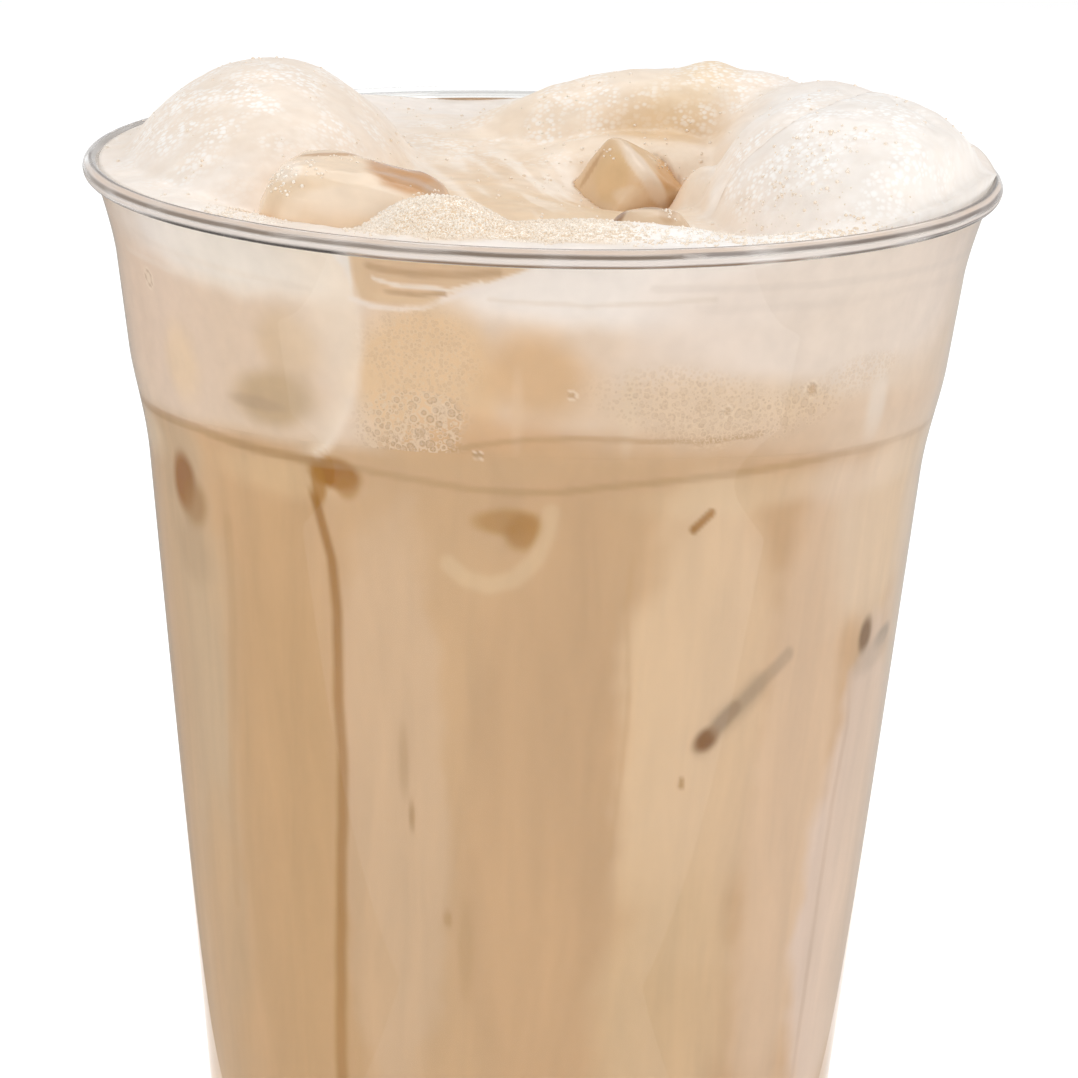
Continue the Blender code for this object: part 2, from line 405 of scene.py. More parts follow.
wallSpots = [
    # degrees from the front, mm below the rim, half-widths in degrees and mm, turn, softness,
    # colour, strength
    (0, 60, 200, 80, 0, 0.3, "#CBA983", 1.0),
    (-72, 62, 22, 46, 0, 0.5, "#C8AF92", 0.9),
    (-41, 68, 12, 32, 0, 0.45, "#C8A67F", 0.9),
    (-21, 62, 9, 34, 0, 0.3, "#CFB08F", 1.0),
    (3, 62, 12, 38, 0, 0.4, "#CAA781", 0.9),
    (26.5, 52, 12.5, 27, 0, 0.4, "#DBBE9C", 0.85),
    (25, 84, 12, 18, 0, 0.6, "#D5B792", 0.8),
    (46, 62, 9, 38, 0, 0.5, "#D8BB9B", 0.85),
    (62, 34, 13, 11, 0, 0.6, "#DCC4A8", 0.85),
    (82, 40, 12, 60, 0, 0.8, "#DCC8B4", 0.8),
    (66, 74, 14, 28, 3, 0.3, "#DAC3AF", 0.95),
    (-60, 88, 8, 20, 0, 0.8, "#C4A27A", 0.6),
]
foamWallSpots = [
    (0, 12, 200, 20, 0, 0.4, "#E3CFBA", 1.0),
    (-60, 10, 36, 12, 0, 0.5, "#E1CCB8", 0.9),
    (-42, 3.2, 26, 4.6, 0, 0.7, "#F6EEE6", 0.9),
    (16, 4.0, 34, 4.6, 0, 0.7, "#F5EDE6", 0.9),
    # painted shade under the rim at the right
    (68, 3.0, 16, 2.6, 0, 0.9, "#CDBBAC", 0.6),
    (45, 8, 30, 9, 0, 0.6, "#E9DBCF", 0.9),
    # the next three: painted shadow inside the pale lump of foam at the left
    (-34, 12.5, 5, 3.6, 40, 0.9, "#D9C09F", 0.7),
    (-37, 18.6, 6.5, 3.0, -8, 0.8, "#C9AF8B", 0.9),
    (-40, 19.5, 4.5, 0.7, 0, 0.9, "#BBA185", 0.6),
    (-56, 17.5, 4, 4, 0, 1.0, "#E9CFA9", 0.5),
    (-14, 15, 9.5, 9, 0, 0.5, "#E2C49C", 0.95),
    (0, 13.5, 6, 5.0, -50, 1.0, "#D6B283", 0.85),
    (-6, 21.5, 11, 3.5, 0, 0.8, "#D8B48A", 0.8),
    (10, 22, 30, 2.6, 0, 0.7, "#CFAB7E", 0.85),
    (24, 18, 18, 3.6, 0, 0.8, "#DEC6AA", 0.7),
    (48, 21, 22, 3, 0, 0.8, "#DDC4AB", 0.7),
    (52.5, 19, 2.0, 5, 0, 0.9, "#E8DACC", 0.8),
    (60, 25, 18, 3.5, 0, 1.0, "#E0CAB2", 0.6),
    (-2.5, 17, 0.8, 4, 0, 1.0, "#E0C4A2", 0.6),
    (12, 17.5, 1.0, 4, 0, 1.0, "#E2CDB2", 0.6),
]
contactSpots = [
    # where ice presses on the wall, or stands near it, after what is paler or darker round it
    (-38, 27, 12, 2.2, 0, 1.0, "#DABE9A", 0.5),
    (-61.5, 31.2, 3.4, 3.0, 15, 0.7, "#9A6626", 0.95),
    (-58.5, 33.3, 3.2, 2.6, 40, 1.0, "#A67C48", 0.7),
    (-60, 39, 5.0, 3.4, 30, 1.0, "#B79C7E", 0.5),
    (-28.2, 25.7, 4.0, 1.7, 0, 0.6, "#A16C20", 0.95),
    (-26.5, 26.9, 1.8, 1.4, 30, 0.9, "#AC7C3E", 0.7),
    (-31.0, 27.0, 1.2, 2.4, 0, 0.7, "#AC7C3E", 0.8),
    (-3.8, 29.2, 4.6, 1.4, 0, 0.8, "#B68B55", 0.85),
    (-1.4, 30.2, 2.4, 2.0, 25, 0.8, "#AE8148", 0.85),
    (-77, 27.5, 9, 2.6, 0, 1.0, "#DFCCB4", 0.7),
    (62, 27.2, 22, 2.4, 0, 1.0, "#E2CCB4", 0.55),
    (30, 26.8, 14, 2.2, 0, 1.0, "#DBC19F", 0.45),
    (27.7, 53.4, 2.2, 1.15, -38, 1.0, "#845A30", 0.95),
    (61.3, 46.2, 2.0, 1.9, 0, 0.9, "#80603F", 0.9),
    (69.5, 47.6, 3.4, 1.1, -6, 1.0, "#9E8D7D", 0.8),
    (66, 49, 7, 1.6, -6, 1.0, "#C3AE9A", 0.6),
    (24.1, 58.0, 0.6, 0.45, 0, 0.7, "#B08A5E", 0.9),
    (-18.8, 56, 0.8, 3.5, 0, 1.0, "#B99874", 0.6),
    (-17.6, 62, 0.5, 1.6, 0, 1.0, "#AD8963", 0.7),
    (-9, 76, 1.2, 5.0, 0, 1.0, "#C19E76", 0.5),
    (-12, 73, 0.7, 0.9, 0, 0.9, "#B79067", 0.6),
]
lobe = {
    # a pale lump of foam against the wall: its right edge as degrees at depths in mm
    "edge": ((2, 3.6, 6, 9, 12.2, 16, 18.6, 20.9, 23.1, 24.6),
             (-26, -24.3, -23.2, -22.9, -23, -23.8, -25.2, -26.8, -29, -33)),
    "reach": ((9, 17), (9, 2.6)),   # the same way, how far it fades to the left
    "bottom": 24.6,
    "colour": "#ECDDCB",
    "strength": 0.75,
}
icePatch = {
    # ice seen through the wall just under the rim: its lower edge in degrees and mm below the rim
    "left": -23.7,
    "right": 2,
    "edge": [(-25, 6.1), (-23.9, 6.4), (-21.5, 6.9), (-17.5, 7.0), (-14.2, 6.5), (-11.6, 5.6), (-9.1, 4.7),
             (-6, 3.8), (-3, 2.8), (0, 1.7), (2, 0.6)],
    "colour": "#D9BA92",
    "strength": 0.92,
}
wallLines = [
    # places in degrees and mm below the rim, half-width in mm, colour, strength
    ([(-24.3, 3.6), (-23.2, 6), (-22.9, 9), (-23, 12.2), (-23.8, 16), (-25.2, 18.6), (-26.8, 20.9),
      (-29, 23.1), (-30.8, 24.0)], 0.45, "#EDDECF", 0.4),
    ([(-23.9, 6.7), (-21.5, 7.2), (-17.5, 7.3), (-14.2, 6.8), (-11.6, 5.9), (-9.1, 5.0), (-6, 4.1),
      (-3, 3.1)], 0.32, "#F7ECE4", 0.6),
    ([(-21, 3.0), (-16, 3.4), (-10, 3.2), (-5, 2.7)], 0.4, "#B58F63", 0.6),
    ([(-20.5, 4.3), (-17, 4.9), (-14, 4.7), (-11, 4.9), (-7, 3.9)], 0.24, "#FBF1E8", 0.75),
    ([(-19, 5.6), (-15, 5.6), (-11.5, 5.3)], 0.24, "#A8845C", 0.5),
    ([(-20, 6.2), (-16, 6.5), (-13, 6.1)], 0.5, "#E2C8A6", 0.6),
    ([(-11, 21.6), (-4.7, 20.5), (0.6, 20.0), (8.4, 20.0), (15.1, 20.3), (22.2, 20.7), (31, 20.4)],
     0.3, "#BC976B", 0.6),
    ([(2.4, 28.0), (1.9, 30.5), (0.4, 33.2), (-2.4, 35.2), (-5.9, 36.0), (-9.5, 35.4), (-11.8, 34.0)],
     0.9, "#DEC6A4", 0.4),
    ([(22.8, 30.2), (24, 29.4), (25.2, 28.6)], 0.5, "#9A6408", 0.8),
    ([(29.4, 52.2), (32.2, 50.4)], 0.9, "#94724F", 0.7),
    ([(30.2, 51.7), (36, 48.4)], 1.6, "#B49A7C", 0.4),
    ([(30.0, 51.8), (36.8, 48.0), (41.5, 45.5)], 0.85, "#A58E76", 0.5),
    ([(-74, 4.2), (-58, 5.2), (-42, 5.9), (-30, 6.2)], 0.4, "#D9CCBF", 0.35),
    ([(-70, 7.4), (-55, 7.6), (-40, 7.2)], 0.35, "#EBDFD2", 0.4),
    ([(14, 4.2), (30, 4.8), (50, 5.4), (78, 6.4)], 0.4, "#D9CCC1", 0.35),
    ([(20, 6.6), (38, 7.3), (56, 7.4), (74, 8.6)], 0.45, "#DDCFC3", 0.3),
    ([(-6, 5.6), (6, 6.0), (22, 5.6)], 0.25, "#DCCDBD", 0.45),
    ([(58, 50), (59.4, 56), (58, 64), (57.6, 76), (57.2, 88), (57, 104)], 0.5, "#C9AE96", 0.5),
    ([(14.2, 33), (13.6, 38), (14.8, 48.4), (14.4, 55), (13.2, 66)], 0.35, "#C7A37B", 0.45),
    ([(-49.7, 33.7), (-50, 42.5), (-52, 53.8), (-54.3, 65.5), (-55.3, 77)], 0.8, "#BF9D77", 0.4),
]
wallRings = [
    # single bubbles at the wall: degrees, mm below the rim, radius in mm, colour inside
    (38.6, 16.3, 0.72, "#C9A883"),
    (-62.8, 9.6, 0.85, "#E6D5C0"),
    (-12.5, 17.6, 0.62, "#C8AC8C"),
    (-15.2, 20.4, 0.66, "#CBB091"),
    (-18.6, 20.9, 0.5, "#CBB091"),
    (-7.5, 22.0, 0.4, "#B99A76"),
    (4.5, 15.4, 0.4, "#C4A27A"),
    (25.5, 17.6, 0.5, "#C9AC8A"),
]
drip = {
    # a dark thread that runs down the wall: degrees at depths in mm, then its width in mm and its
    # strength at depths
    "route": [(27.5, -32.3), (31, -31.2), (35, -29.6), (41, -29.0), (50, -29.4), (56, -29.0), (63, -29.5),
              (70, -30.2), (76, -30.6), (83, -31.2), (92, -31.8), (104, -31.4), (118, -32.2)],
    "top": 27,
    "width": ((27, 118), (0.6, 1.1)),
    "strength": ((27, 60, 118), (0.9, 0.62, 0.45)),
    "colour": "#9F7033",
}
ringLine = {
    # the soft shade along the stacking ledge: mm below the rim, half-width and strength at degrees
    "degrees": (-180, -90, -74, -54, -43, -30, -24, -15, -8, -2, 4, 10, 16, 23, 37, 47, 61, 82, 180),
    "depth": (25, 25.2, 25.0, 24.3, 24.6, 24.7, 24.8, 25.3, 25.8, 25.9, 25.7, 25.2, 24.9, 24.5, 24.2, 24.1,
              24.4, 25.0, 25),
    "width": (0.35, 0.45, 0.5, 0.5, 0.5, 0.5, 0.4, 0.4, 0.4, 0.4, 0.4, 0.4, 0.4, 0.45, 0.45, 0.4,
              0.4, 0.35, 0.35),
    "strength": (0.4, 0.6, 0.65, 0.65, 0.7, 0.7, 0.4, 0.35, 0.4, 0.45, 0.45, 0.45, 0.45, 0.42, 0.42,
                 0.36, 0.22, 0.22, 0.35),
    "colour": "#AE8A62",
}
wallLift = {
    # the clear wall mirrors some of the room, so what stands behind it is laid a little lighter:
    # degrees from the front, then red, green, blue for the drink and for the foam
    "degrees": (-180, -90, -75, -60, -45, -15, 15, 45, 75, 90, 180),
    "drink": ((1.28, 1.4, 1.37, 1.24, 1.25, 1.20, 1.15, 1.13, 1.18, 1.22, 1.28),
              (1.34, 1.39, 1.36, 1.27, 1.30, 1.27, 1.21, 1.20, 1.21, 1.27, 1.34),
              (1.42, 1.38, 1.31, 1.24, 1.31, 1.31, 1.25, 1.33, 1.21, 1.3, 1.42)),
    "foam": ((1.15, 1.25, 1.24, 1.08, 1.08, 1.06, 1.02, 1.01, 1.03, 1.08, 1.15),
             (1.16, 1.25, 1.24, 1.08, 1.08, 1.06, 1.02, 1.02, 1.04, 1.09, 1.16),
             (1.17, 1.25, 1.24, 1.09, 1.06, 1.06, 1.02, 1.02, 1.06, 1.1, 1.17)),
    "veil": 0.05,              # taken off again in the drink, which gives its dark marks their depth
    "brightest": 0.9,
}


mmPerDegree = 0.7              # of wall, on average
mmPerDegreeHigh = 0.78         # near the rim


def spotMask(degrees, depth, spot, wobble):
    middle, low, halfAcross, halfDown, turn, softness = spot[:6]
    across = (degrees - middle) * mmPerDegree
    distance = turnedDistance(across, depth - low, halfAcross * mmPerDegree, halfDown, turn)
    return smoothStep((1 + softness / 2 - distance * (1 + 0.16 * wobble)) / softness)


def laySpots(colours, degrees, depth, spots, wobble):
    for spot in spots:
        tone, strength = spot[6:]
        colours = lay(colours, spotMask(degrees, depth, spot, wobble) * strength, tone)
    return colours


def sideAndBackSpots():
    # the photo shows only the front half, so the rest takes like marks by a seeded draw
    draw = random.Random(12)
    spots = []
    for step in range(9):
        middle = 92 + step * 20 + draw.uniform(-5, 5)
        middle = middle - 360 if middle > 180 else middle
        tone = draw.choice(["#C9A680", "#D2B391", "#CDAE8A", "#D7BEA4"])
        spots.append((middle, draw.uniform(50, 80), draw.uniform(6, 12), draw.uniform(22, 40),
                      0, 0.4, tone, 0.8))
    for step in range(6):
        middle = 100 + step * 30 + draw.uniform(-8, 8)
        middle = middle - 360 if middle > 180 else middle
        tone = draw.choice(["#A57748", "#B38854", "#A88A6A"])
        spots.append((middle, draw.uniform(28, 60), draw.uniform(2, 5), draw.uniform(1, 2.6),
                      draw.uniform(-40, 40), 0.6, tone, 0.85))
    return spots


def wallColours(points):
    # colour of what shows through the wall, at points in mm round the axis and below the rim
    degrees, depth = wallPlaces(points)
    wobble = noiseAt(points, 7, 1) + 0.5 * noiseAt(points, 2.6, 2)
    base = plain(points, "#CBA983")
    drinkColours = laySpots(base, degrees, depth, wallSpots + sideAndBackSpots(), wobble)
    foamColours = laySpots(base, degrees, depth, foamWallSpots, wobble)
    boundary = foamDepth(points[:, 0]) + 0.5 * noiseAt(points, 9, 3)
    inDrink = smoothStep((depth - boundary + 1.2) / 2.6)[:, None]
    colours = foamColours * (1 - inDrink) + drinkColours * inDrink
    colours = laySpots(colours, degrees, depth, contactSpots, wobble)
    # the drip
    depths, angles = zip(*drip["route"])
    middle = np.interp(depth, depths, angles)
    width = np.interp(depth, *drip["width"])
    away = np.abs((degrees - middle) * mmPerDegree + 0.12 * noiseAt(points, 4, 4))
    strength = smoothStep((depth - drip["top"]) / 2) * np.interp(depth, *drip["strength"])
    colours = lay(colours, smoothStep(1.35 - away / width) * strength, drip["colour"])
    # the pale lump's crisp edge
    inside = np.interp(depth, *lobe["edge"]) - degrees + 0.3 * wobble
    reach = np.interp(depth, *lobe["reach"])
    mask = smoothStep(inside / 0.9 + 0.5) * np.exp(-(np.maximum(0, inside) / reach) ** 2)
    mask = mask * smoothStep((lobe["bottom"] - depth) / 1.5)
    colours = lay(colours, mask * lobe["strength"], lobe["colour"])
    # ice just under the rim
    bottom = np.interp(degrees, *zip(*icePatch["edge"]))
    mask = smoothStep((bottom - depth + 0.15 * wobble) / 0.6 + 0.5)
    mask = mask * smoothStep((degrees - icePatch["left"]) / 0.6) * (degrees < icePatch["right"])
    colours = lay(colours, mask * icePatch["strength"], icePatch["colour"])
    # fine lines and single bubbles
    unrolled = degrees * mmPerDegreeHigh + 0.1 * noiseAt(points, 3, 16)
    down = depth + 0.12 * noiseAt(points, 2.4, 17)
    for route, halfWidth, tone, strength in wallLines:
        near = [(d * mmPerDegreeHigh, z) for d, z in route]
        mask = smoothStep(1.5 - routeDistance(unrolled, down, near) / halfWidth) * strength
        colours = lay(colours, mask * (1 + 0.25 * wobble).clip(0.5, 1.1), tone)
    for middle, low, radius, tone in wallRings:
        away = np.hypot((degrees - middle) * mmPerDegreeHigh, depth - low) / radius
        shells = ((0, 0.75, tone, 0.8), (0.78, 1.0, "#A98964", 0.55), (1.02, 1.35, "#EFDFCC", 0.7))
        for inner, outer, shade, strength in shells:
            mask = smoothStep((away - inner) / 0.2 + 0.5) if inner else np.ones(len(points))
            colours = lay(colours, mask * smoothStep((outer - away) / 0.2 + 0.5) * strength, shade)
    # the ledge's line
    line = ringLine
    middle = np.interp(degrees, line["degrees"], line["depth"])
    away = np.abs(depth - middle - 0.15 * noiseAt(points, 12, 5))
    width = np.interp(degrees, line["degrees"], line["width"])
    strength = np.interp(degrees, line["degrees"], line["strength"])
    colours = lay(colours, smoothStep(1.5 - away / width) * strength, line["colour"])
    # the room's reflections are made up for
    foamLift, drinkLift = (
        np.stack([np.interp(degrees, wallLift["degrees"], channel) for channel in wallLift[part]], -1)
        for part in ("foam", "drink"))
    lift = foamLift * (1 - inDrink) + drinkLift * inDrink
    colours = np.maximum(colours * lift - wallLift["veil"] * inDrink, 0)
    return colours * np.minimum(1, wallLift["brightest"] / colours.max(axis=1, keepdims=True))


foamTopSpots = [
    # middle x, y, half-widths, turn, softness, colour, strength: tan where the drink shows through
    (0, 0, 60, 60, 0, 0.4, "#F1E6DC", 1.0),
    (3, 2, 24, 34, 8, 0.7, "#EFDAC2", 0.95),
    (-2, -16, 15, 13, 0, 0.8, "#DFC19B", 0.85),
    (12.5, 15.5, 6.5, 5.0, -20, 1.0, "#DDB98C", 0.85),
    (15, 22, 5, 4, 0, 1.0, "#E9D0AE", 0.6),
    (-6, 3, 3, 6, 0, 1.0, "#D9B78F", 0.45),
    (1, 2, 3.5, 6, 0, 1.0, "#FAEEE0", 0.55),
    (18, 29, 4, 6, 0, 1.0, "#EBD2AE", 0.8),
    (4, 27, 10, 8, 0, 0.8, "#F0DEC9", 0.8),
    (-3, -38, 15, 6, 0, 0.6, "#E9D0B1", 0.95),
    (20, -38, 14, 7, 0, 0.6, "#FAF5F0", 0.9),
    (-34, -26, 14, 14, 0, 0.6, "#F6EBE0", 0.9),
    (-26, -8, 10, 12, 0, 0.8, "#EAD8C6", 0.8),
    (33, -9, 15, 24, 8, 0.5, "#F2EAE2", 0.95),
    (-30, 6, 16, 24, 0, 0.6, "#EEDECD", 0.95),
]

valleyStreaks = {
    "direction": (0.305, -0.952),   # from the back left down to the front
    "across": 1.5,                  # mm
    "along": 11,
    "place": (-6, -2, 11, 20),
    "dark": "#DFC09B",
    "light": "#FBEFE1",
    "strength": 0.45,
}


def topSpot(points, place, wobble):
    middleX, middleY, halfX, halfY, turn, softness = place
    distance = turnedDistance(points[:, 0] - middleX, points[:, 1] - middleY, halfX, halfY, turn)
    return smoothStep((1 + softness / 2 - distance * (1 + 0.22 * wobble)) / softness)


def foamTopColours(points):
    wobble = noiseAt(points, 8, 6) + 0.6 * noiseAt(points, 3, 7)
    colours = plain(points, "#F4E9E0")
    for *place, tone, strength in foamTopSpots:
        colours = lay(colours, topSpot(points, place, wobble) * strength, tone)
    # wet streaks that run down the valley to the front
    streaks = valleyStreaks
    alongX, alongY = streaks["direction"]
    across = points[:, 0] * alongY - points[:, 1] * alongX
    along = points[:, 0] * alongX + points[:, 1] * alongY
    flow = noiseAt(np.stack([across / streaks["across"], along / streaks["along"], 0 * along], -1), 1, 18)
    middleX, middleY, halfX, halfY = streaks["place"]
    away = np.hypot((points[:, 0] - middleX) / halfX, (points[:, 1] - middleY) / halfY)
    there = smoothStep(1.6 - 1.2 * away)
    for sign, tone in ((1, streaks["dark"]), (-1, streaks["light"])):
        mask = smoothStep((sign * flow - 0.05) / 0.3) * there * streaks["strength"]
        colours = lay(colours, mask, tone)
    # behind the edge of the right mound the foam is pinker, with a thin shade along the edge
    route = foamForm["overlap"][0]
    routeX, routeY = zip(*route)
    behind = points[:, 1] - np.interp(points[:, 0], routeX, routeY)
    there = smoothStep((points[:, 0] - routeX[0]) / 2) * smoothStep((routeX[-1] + 1 - points[:, 0]) / 4)
    for low, reach, tone, strength in ((0.2, 7.0, "#F6E8DA", 0.75), (-0.1, 0.5, "#CFB5A0", 0.75)):
        mask = smoothStep((behind - low) / 0.4 + 0.5) * np.exp(-(np.maximum(0, behind - low) / reach) ** 2)
        colours = lay(colours, mask * there * strength, tone)
    # fine mottling, browner where it is darker
    mottle = 0.06 * noiseAt(points, 1.7, 19) + 0.04 * noiseAt(points, 0.9, 20)
    return np.clip(colours * (1 + mottle[:, None] * np.array([0.6, 0.9, 1.2])), 0, 1)


wallBubbleSpots = [
    # degrees, mm below the rim, half-widths in degrees and mm, turn, softness, strength;
    # over a strength of 0.7 large ones come in
    (-15.5, 12, 7.5, 4.5, 0, 0.6, 0.6),
    (-17, 19.4, 8.0, 4.0, -14, 0.5, 1.0),
    (20, 16.5, 13, 3.4, 10, 0.7, 0.76),
    (30, 18.6, 15, 2.6, -6, 0.7, 0.78),
    (48, 15.5, 8, 1.6, -4, 0.9, 0.5),
    (130, 17, 40, 4.5, 0, 0.7, 0.6),
    (-140, 16, 36, 5, 0, 0.7, 0.7),
]
frothSpots = [
    # middle x, y, half-widths, turn, softness, strength: where fine bubbles stand on the foam
    (-4, -38, 14, 5.5, 0, 0.5, 1.0),
    (-11, -36, 8, 6, 0, 0.5, 0.9),
    (-29, -33, 5, 5, 30, 0.8, 0.3),
    (22, -37, 14, 5, 12, 0.8, 0.35),
    (26, -24, 6, 6, -20, 0.9, 0.12),
    (9, 4, 9, 7, 0, 1.0, 0.06),
    (0, 0, 46, 46, 0, 0.3, 0.008),
]
fleckAndGlintSpots = [
    # the same for white flecks in the foam's surface, partly its bubbles and partly painted glints
    (30, -14, 12, 17, 12, 0.7, 0.95),
    (-32, 4, 15, 24, 0, 0.7, 0.75),
    (18, 26, 24, 10, 0, 0.7, 0.6),
    (20, -38, 16, 6, 0, 0.6, 0.9),
    (-4, 20, 14, 12, 0, 0.9, 0.5),
]


def wallBubbles(points):
    degrees, depth = wallPlaces(points)
    wobble = noiseAt(points, 5, 12)
    mask = np.zeros(len(points))
    for spot in wallBubbleSpots:
        mask = np.maximum(mask, spotMask(degrees, depth, spot, wobble) * spot[6])
    return mask


def topMask(points, spots, wobble):
    mask = np.zeros(len(points))
    for *place, strength in spots:
        mask = np.maximum(mask, topSpot(points, place, wobble) * strength)
    return mask


def frothDensity(points):
    return topMask(points, frothSpots, noiseAt(points, 4, 13))


def fleckAndGlintDensity(points):
    # white flecks in clusters, partly bubbles and partly painted glints
    clusters = smoothStep(noiseAt(points, 4.5, 14) * 1.4 + 0.55)
    return topMask(points, fleckAndGlintSpots, noiseAt(points, 6, 15)) * clusters


# Rings of points round the axis, closer together at the front, where the photo looks

def ringAngles():
    form = foamForm
    front = np.radians(np.arange(-80, 80, math.degrees(form["frontPitch"] / middleRadius)))
    back = np.radians(np.arange(80, 280, math.degrees(form["backPitch"] / middleRadius)))
    return np.concatenate([front, back])


def ringPoint(angle, radius, z):
    return np.stack([radius * np.sin(angle), -radius * np.cos(angle), z], -1)


def stripFaces(rows, columns):
    row, column = np.meshgrid(np.arange(rows - 1), np.arange(columns), indexing="ij")
    after = (column + 1) % columns
    a = row * columns + column
    b = row * columns + after
    return np.stack([a, a + columns, b + columns, b], -1).reshape(-1, 4)


def makeDrink():
    angles = ringAngles()
    columns = len(angles)
    form = cupForm
    x = middleRadius * np.sin(angles)
    top = drinkTop(x)
    # rows from the foam down, closest together where the marks are fine
    fractions = np.concatenate([[0, 0.0004], np.linspace(0.0035, 0.3, 92), np.linspace(0.306, 0.63, 56),
                                np.linspace(0.65, 1, 18)])
    bottom = form["heel"] * 2
    rows = []
    for inset in (0.02, 0.4, 0.8):
        rows.append(ringPoint(angles, contentRadius(top) * inset, top - 0.02 * mm))
    for fraction in fractions:
        z = top + (bottom - top) * fraction
        rows.append(ringPoint(angles, contentRadius(z), z))
    heelRadius = float(wallRadius(form["heel"])) - form["heel"]
    reach = form["heel"] - form["sheet"] + intoWall
    for r, z in arc((heelRadius, form["heel"]), reach, reach, -math.pi / 8, -math.pi / 2, 5):
        rows.append(ringPoint(angles, r, np.full(columns, z)))
    floor = form["sheet"] - intoWall
    panel = form["panelRise"] + floor
    for r, z in ((form["footInner"] + form["sheet"] + intoWall, floor),
                 (form["footInner"] - form["footSlope"], panel), (0.3 * mm, panel)):
        rows.append(ringPoint(angles, r, np.full(columns, z)))
    points = np.concatenate(rows)
    faces = [tuple(f) for f in stripFaces(len(rows), columns)]
    faces.append(tuple(range(columns)))
    faces.append(tuple(reversed(range(len(points) - columns, len(points)))))
    piece = meshPiece("milkyChai", points, faces)
    addColours(piece, "colour", wallColours(points / mm))
    return piece


def iceTops(x, y):
    # height over the rim of the ice above each place, in mm, far down where there is none
    tops = np.full(len(x), -99.0)
    for name in iceForm:
        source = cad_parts[name]
        places = [source.matrix_world @ v.co for v in source.data.vertices]
        tree = BVHTree.FromPolygons(places, [tuple(p.vertices) for p in source.data.polygons])
        low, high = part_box(name)
        near = (x > low[0] / mm) & (x < high[0] / mm) & (y > low[1] / mm) & (y < high[1] / mm)
        for i in np.nonzero(near)[0]:
            hit = tree.ray_cast((x[i] * mm, y[i] * mm, rimHeight + 20 * mm), (0, 0, -1))[0]
            if hit is not None:
                tops[i] = max(tops[i], (hit.z - rimHeight) / mm)
    return tops


def frothRelief(points):
    # lumps of 8 mm down to bubbles of about 1 mm
    return (0.30 * noiseAt(points, 7, 8) + 0.16 * noiseAt(points, 3, 9)
            + 0.06 * noiseAt(points, 1.3, 10) + 0.02 * noiseAt(points, 0.8, 11))


def makeFoam():
    form = foamForm
    angles = ringAngles()
    columns = len(angles)
    top = rimHeight - form["sideTop"] * mm
    edge = float(contentRadius(top))
    spillAt, spillWidth, reach, lift = form["spill"]
    degrees = (np.degrees(angles) + 180) % 360 - 180
    spill = np.exp(-((degrees - spillAt) / spillWidth) ** 2)
    # the side, from the drink up to the rim
    lowest = drinkTop(middleRadius * np.sin(angles))
    rows = []
    for inset in (0.02, 0.5):
        rows.append(ringPoint(angles, contentRadius(lowest) * inset, lowest + 0.02 * mm))
    for share in np.concatenate([[0, 0.002], np.linspace(0.015, 1, 74)]):
        z = lowest + (top - lowest) * share
        rows.append(ringPoint(angles, contentRadius(z), z))
    sideCount = len(rows) * columns
    # the lip, which lies over the rim at the right
    for outward, height in ((0.22, -0.75), (0.6, 0.05)):
        rows.append(ringPoint(angles, edge + outward * reach * spill * mm,
                              top + (height + form["sideTop"]) * spill * mm * 0.9))
    # the top, from the wall in to the axis
    for share in np.concatenate([np.linspace(1, 0.985, 3), np.linspace(0.976, 0.006, 104), [0.0008]]):
        radius = edge / mm * share
        x, y = radius * np.sin(angles), -radius * np.cos(angles)
        height = foamHeight(x, y)
        tops = iceTops(x, y)
        height = np.where(tops > height, height - form["underIce"], height)
        outer = smoothStep((share - 0.9) / 0.1) * spill
        height = height * (1 - outer) + lift * outer + outer * (1 - outer) * 5.0
        radius = radius + reach * outer
        points = np.stack([x, y, height], -1)
        height = height + frothRelief(points) * smoothStep((1 - share) / 0.03)
        rows.append(ringPoint(angles, radius * mm, rimHeight + height * mm))
    points = np.concatenate(rows)
    faces = [tuple(reversed(f)) for f in stripFaces(len(rows), columns)]
    faces.append(tuple(range(columns)))
    faces.append(tuple(reversed(range(len(points) - columns, len(points)))))
    piece = meshPiece("milkFoam", points, faces)
    onTop = np.zeros(len(points))
    onTop[sideCount:] = 1
    flat = points / mm - np.array([0, 0, rimHeight / mm])
    colours = np.where(onTop[:, None] > 0, foamTopColours(flat), wallColours(points / mm))
    addColours(piece, "colour", colours)
    addValues(piece, "onTop", onTop)
    addValues(piece, "bubbles", wallBubbles(points / mm) * (1 - onTop))
    addValues(piece, "froth", frothDensity(flat) * onTop)
    addValues(piece, "flecksAndGlints", fleckAndGlintDensity(flat) * onTop)
    return piece


# Materials

def clearPet():
    # PET sheet, thermoformed: clear and glossy, bends light at the curl; lamps reach what it holds
    material, tree = newMaterial("clearPetSheet")
    sheet = addNode(tree, "ShaderNodeBsdfPrincipled", inputs={
        "Base Color": (*linear("#FCFCFB"), 1), "Roughness": 0.0, "IOR": 1.575, "Transmission Weight": 1.0})
    # the curl's lines, painted reflections and shades laid over the clear sheet in its surface
    colour = addNode(tree, "ShaderNodeAttribute", {"attribute_name": "colour"})
    lines = addNode(tree, "ShaderNodeAttribute", {"attribute_name": "lines"})
    shade = addNode(tree, "ShaderNodeBsdfPrincipled", inputs={
        "Base Color": colour.outputs["Color"], "Roughness": 0.15, "Specular IOR Level": 0.4})
    lined = addNode(tree, "ShaderNodeMixShader", inputs={
        0: lines.outputs["Fac"], 1: sheet.outputs[0], 2: shade.outputs[0]})
    through = addNode(tree, "ShaderNodeBsdfTransparent", inputs={"Color": (0.97, 0.97, 0.97, 1)})
    path = addNode(tree, "ShaderNodeLightPath")
    mix = addNode(tree, "ShaderNodeMixShader", inputs={
        0: path.outputs["Is Shadow Ray"], 1: lined.outputs[0], 2: through.outputs[0]})
    finishMaterial(tree, mix.outputs[0])
    return material


